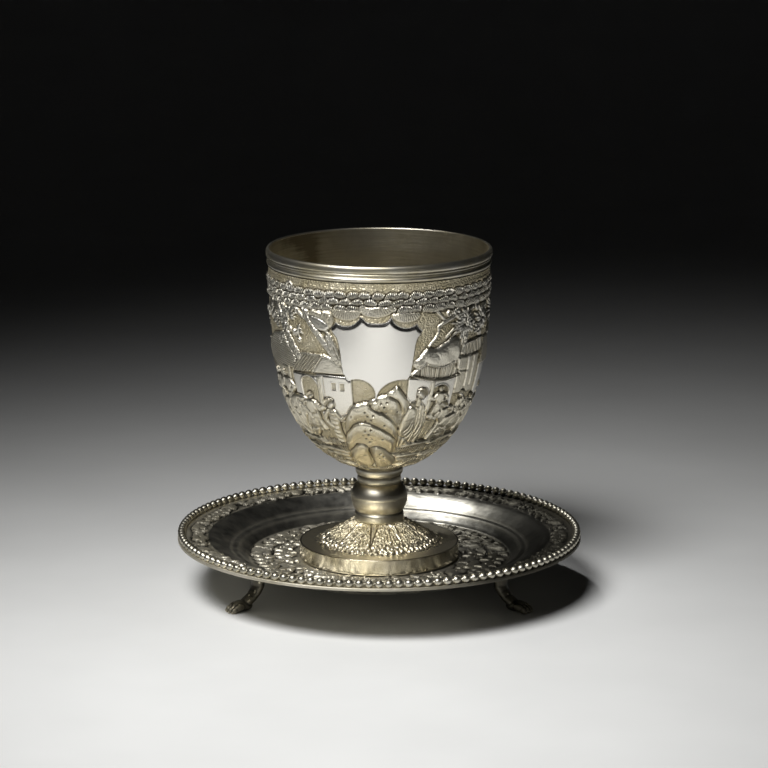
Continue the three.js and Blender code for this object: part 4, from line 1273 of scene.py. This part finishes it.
def saucer():
    """The dish's upper face, with its two stepped rings worn bright, and its plain back."""
    relief, radii, level = saucer_relief()
    places, normals = skin_places(relief, radii, level)
    top = grid_mesh("saucer_face", places[::-1], True, normals[::-1])
    plain = smooth(radii, 57.4, 56.8) * smooth(radii, 43.6, 44.2)
    for worn_ring in (49.4, 46.9):
        plain = plain - 0.5 * np.exp(-((radii - worn_ring) / 0.6) ** 2)
    plain = plain[:, None] + 0 * relief.height
    paint(top, recess=recesses(relief.height, 3, 0.2)[::-1],
          matting=relief.matting[::-1], plain=plain[::-1])
    finish_piece(top, SILVER_DISH, "tarnished_silver", "saucer_dish")
    back = np.array([
        (0.01, -1.0), (43.6, -1.0), (44.6, -0.6), (49.6, 2.9), (55.5, 5.9), (57.2, 6.2),
        (67.0, 6.8), (67.35, 6.95),
    ]) + (0, WELL_FLOOR)
    under = turned("saucer_back", back, 200)
    paint(under, plain=np.ones(len(under.data.vertices)))
    finish_piece(under, SILVER_DISH, "tarnished_silver", "saucer_dish")


saucer()


# ---------------------------------------------------------------- beads
# One cast wire of round beads runs round the saucer's edge, each bead nipped from the next. It is
# soldered on, rubbed bright on top and greyed between the beads.

def beads():
    """Beads swept round the ring: round in section, with a thin neck between each and the next."""
    low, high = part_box("beaded_rim")
    middle = (low[2] + high[2]) / 2 / MM
    bead = (high[2] - low[2]) / 2 / MM
    ring = high[0] / MM - bead
    count, around, rings = 132, 16, 10
    half_pitch = math.pi * ring / count
    along = -np.cos(np.linspace(0.06, 1, rings) * np.pi) * half_pitch
    neck, worn_down = 0.4, 0.93
    girth = worn_down * np.sqrt(np.maximum(bead**2 - along**2, neck**2))
    turn = (np.arange(count)[:, None] * 2 * np.pi / count + along / ring).ravel()[:, None]
    wheel = -np.arange(around) * 2 * np.pi / around
    girth = np.tile(girth, count)[:, None]
    radius = ring + girth * np.cos(wheel)
    height = middle + girth * np.sin(wheel)
    places = np.stack([radius * np.sin(turn), -radius * np.cos(turn), height], axis=-1)
    piece = grid_mesh("beads", np.vstack([places, places[:1]]), True)
    greyed = burnished_silver("beaded_silver", 0.42, 0.32, ("#9C9889", "#BDB8A9", "#D8D5CA"))
    return finish_piece(piece, greyed, "chased_silver", "beaded_rim")


beads()


# ---------------------------------------------------------------- paw feet
# Three cast paws: a flat-sided leg soldered under the hollow of the saucer bends outward to a
# broad foot with four toes and claws. They are cast rough and have gone nearly black.

def cast_silver():
    """Cast silver, hardly polished: a rough dark tarnish with bright wear on the crests."""
    material, tree, place = blank_material("cast_silver")
    edges = node(tree, "NewGeometry", output="Pointiness")
    worn = node(tree, "MapRange", {"Value": edges, "From Min": 0.5, "From Max": 0.56})
    bloom = node(tree, "TexNoise", {"Vector": place, "Scale": 1 / (3 * MM), "Detail": 4.0})
    tarnish = node(tree, "ValToRGB", {"Fac": bloom}, stops=[(0.3, "#2E2C26"), (0.7, "#57534A")])
    colour = node(tree, "Mix", {"Factor": worn, "A": tarnish, "B": linear("#C2BAA4")}, 2,
                  data_type="RGBA")
    sand = node(tree, "TexNoise", {"Vector": place, "Scale": 1 / (0.6 * MM), "Detail": 4.0})
    roughness = node(tree, "MapRange", {"Value": bloom, "To Min": 0.38, "To Max": 0.5})
    close_material(tree, colour, roughness,
                   node(tree, "Bump", {"Height": sand, "Distance": 0.05 * MM}))
    return material


def ball(mesh_parts, centre, radii, tilt=0.0):
    """Adds an ellipsoid to the parts of a casting, tilted about the sideways axis in degrees."""
    u = np.linspace(0, np.pi, 17)[:, None]
    v = np.arange(24)[None, :] * 2 * np.pi / 24
    shape = np.stack([np.cos(u) + 0 * v, np.sin(u) * np.cos(v), np.sin(u) * np.sin(v)], axis=-1)
    shape = shape * radii
    c, s = math.cos(math.radians(tilt)), math.sin(math.radians(tilt))
    turned_shape = np.stack([c * shape[..., 0] - s * shape[..., 2], shape[..., 1],
                             s * shape[..., 0] + c * shape[..., 2]], axis=-1)
    mesh_parts.append(turned_shape + centre)


def paw_places():
    """Ellipsoids that make one paw: +X points outward and the claws end at x = 0."""
    parts = []
    route = np.array([(-11.6, 14.0), (-11.9, 10.5), (-11.8, 8.0), (-10.9, 6.0), (-9.4, 4.2),
                      (-7.6, 2.9)])
    knots = np.linspace(0, 1, len(route))
    for t in np.linspace(0, 1, 26):
        x, z = np.interp(t, knots, route[:, 0]), np.interp(t, knots, route[:, 1])
        wide = np.interp(t, [0, 0.45, 0.75, 1], [3.7, 3.1, 2.4, 2.5])
        deep = np.interp(t, [0, 0.45, 1], [2.2, 1.8, 1.8])
        ball(parts, (x, 0, z), (deep, wide, 1.5))
    ball(parts, (-6.0, 0, 1.9), (3.6, 2.6, 1.8), 8)
    for toe in range(4):
        y = (toe - 1.5) * 1.45
        back = 0.12 * y * y
        ball(parts, (-3.4 - back, y, 1.75), (1.9, 0.82, 1.15), -14)
        ball(parts, (-1.75 - back, y, 1.05), (1.2, 0.7, 0.95), -28)
        ball(parts, (-0.85 - back, y, 0.62), (0.75, 0.36, 0.5), -35)
    return parts


def join_casting(name, meshes):
    """Joins the ellipsoids of a paw, melts them together and cuts them off at table and saucer."""
    joined = bmesh.new()
    for mesh in meshes:
        joined.from_mesh(mesh)
        for user in [o for o in bpy.data.objects if o.data == mesh]:
            bpy.data.objects.remove(user)
    melted = bpy.data.meshes.new(name)
    joined.to_mesh(melted)
    joined.free()
    piece = bpy.data.objects.new(name, melted)
    bpy.context.scene.collection.objects.link(piece)
    remesh = piece.modifiers.new("melt", "REMESH")
    remesh.mode = "VOXEL"
    remesh.voxel_size = 0.22 * MM
    relax = piece.modifiers.new("relax", "SMOOTH")
    relax.iterations = 3
    depsgraph = bpy.context.evaluated_depsgraph_get()
    solid = bpy.data.meshes.new_from_object(piece.evaluated_get(depsgraph))
    piece.modifiers.clear()
    trimmed = bmesh.new()
    trimmed.from_mesh(solid)
    table = (0, 0, 0.0), (0, 0, -1)
    saucer_under = (-13.8 * MM, 0, (WELL_FLOOR - 1.4) * MM), (-0.56, 0, 0.83)
    for place, facing in (table, saucer_under):
        geometry = trimmed.verts[:] + trimmed.edges[:] + trimmed.faces[:]
        cut = bmesh.ops.bisect_plane(trimmed, geom=geometry, plane_co=place, plane_no=facing,
                                     clear_outer=True)
        rim = [e for e in cut["geom_cut"] if isinstance(e, bmesh.types.BMEdge)]
        bmesh.ops.edgeloop_fill(trimmed, edges=rim)
    trimmed.to_mesh(solid)
    trimmed.free()
    solid.shade_smooth()
    piece.data = solid
    return piece


def paws():
    """The three castings, evenly spaced, with the claws toward the rim."""
    material = cast_silver()
    reach = 57.9 * MM  # from the axis to the claws
    for number, bearing in enumerate((-60, 60, 180), start=1):
        meshes = [grid_mesh("casting", part, True).data for part in paw_places()]
        piece = join_casting(f"paw_{number}", meshes)
        turn = math.radians(bearing)
        piece.location = (reach * math.sin(turn), -reach * math.cos(turn), 0)
        piece.rotation_euler = (0, 0, turn - math.pi / 2)
        bpy.context.view_layer.update()
        finish_piece(piece, material, "tarnished_silver", f"paw_foot_{number}")


paws()


# ---------------------------------------------------------------- floor, light and camera
# A pale sweep of paper lit softly from the front left, so that it falls away to dark behind. A
# narrow lamp over the back of the saucer brightens the far side of its hollow.

def sweep():
    """Uncoated paper: matt, almost white, with a faint cloudiness."""
    material, tree, place = blank_material("uncoated_paper")
    cloud = node(tree, "TexNoise", {"Vector": place, "Scale": 1 / (60 * MM), "Detail": 3.0})
    colour = node(tree, "ValToRGB", {"Fac": cloud}, stops=[(0.3, "#DCDCDA"), (0.7, "#E2E2E0")])
    surface = node(tree, "BsdfPrincipled", {"Base Color": colour, "Roughness": 0.85})
    node(tree, "OutputMaterial", {"Surface": surface})
    profile = [(-1.6, 0.0), (0.9, 0.0), (1.25, 0.08), (1.5, 0.4), (1.6, 1.4)]  # metres, back and up
    mesh = bpy.data.meshes.new("sweep")
    half_width = 2.2  # metres
    verts = [(x, y, z) for y, z in profile for x in (-half_width, half_width)]
    faces = [(2 * i, 2 * i + 1, 2 * i + 3, 2 * i + 2) for i in range(len(profile) - 1)]
    mesh.from_pydata(verts, [], faces)
    mesh.shade_smooth()
    mesh.materials.append(material)
    floor = bpy.data.objects.new("sweep", mesh)
    bpy.context.scene.collection.objects.link(floor)


def area_light(name, place, target, size, power, spread):
    """A soft rectangular lamp; places and sizes are in metres, the power in watts."""
    lamp = bpy.data.lights.new(name, "AREA")
    lamp.shape = "RECTANGLE"
    lamp.size, lamp.size_y = size
    lamp.energy = power
    lamp.spread = math.radians(spread)
    holder = bpy.data.objects.new(name, lamp)
    holder.location = place
    holder.rotation_euler = (Vector(target) - Vector(place)).to_track_quat("-Z", "Y").to_euler()
    bpy.context.scene.collection.objects.link(holder)


def studio():
    """A nearly black room with a key lamp, a lamp over the paper in front, and the narrow one."""
    world = bpy.data.worlds.new("studio")
    bpy.context.scene.world = world
    world.use_nodes = True
    background = world.node_tree.nodes["Background"]
    background.inputs["Color"].default_value = (1, 1, 1, 1)
    background.inputs["Strength"].default_value = 0.0042
    area_light("key", (-0.192, -0.367, 0.55), (0, -0.089, 0), (0.32, 0.22), 0.6455, 56.7)
    area_light("front", (-0.15, -0.396, 0.41), (0.019, -0.407, 0), (0.2, 0.2), 0.215, 44.7)
    area_light("overhead", (-0.11, 0.22, 0.41), (0.016, 0.05, 0.026), (0.04, 0.09), 0.007, 9)


def camera():
    """A long lens a little above the cup's mouth, aimed at the middle of the cup, in metres."""
    elevation = math.radians(12.58)
    distance = 1.079
    aim = Vector((0.0016, 0, 0.0705))
    lens = bpy.data.cameras.new("camera")
    lens.lens = 152.6
    lens.sensor_width = 36.0
    lens.clip_start = 0.05
    eye = bpy.data.objects.new("camera", lens)
    eye.location = aim + distance * Vector((0, -math.cos(elevation), math.sin(elevation)))
    eye.rotation_euler = (math.pi / 2 - elevation, 0, 0)
    bpy.context.scene.collection.objects.link(eye)
    bpy.context.scene.camera = eye


sweep()
studio()
camera()
bpy.context.scene.view_settings.view_transform = "Standard"
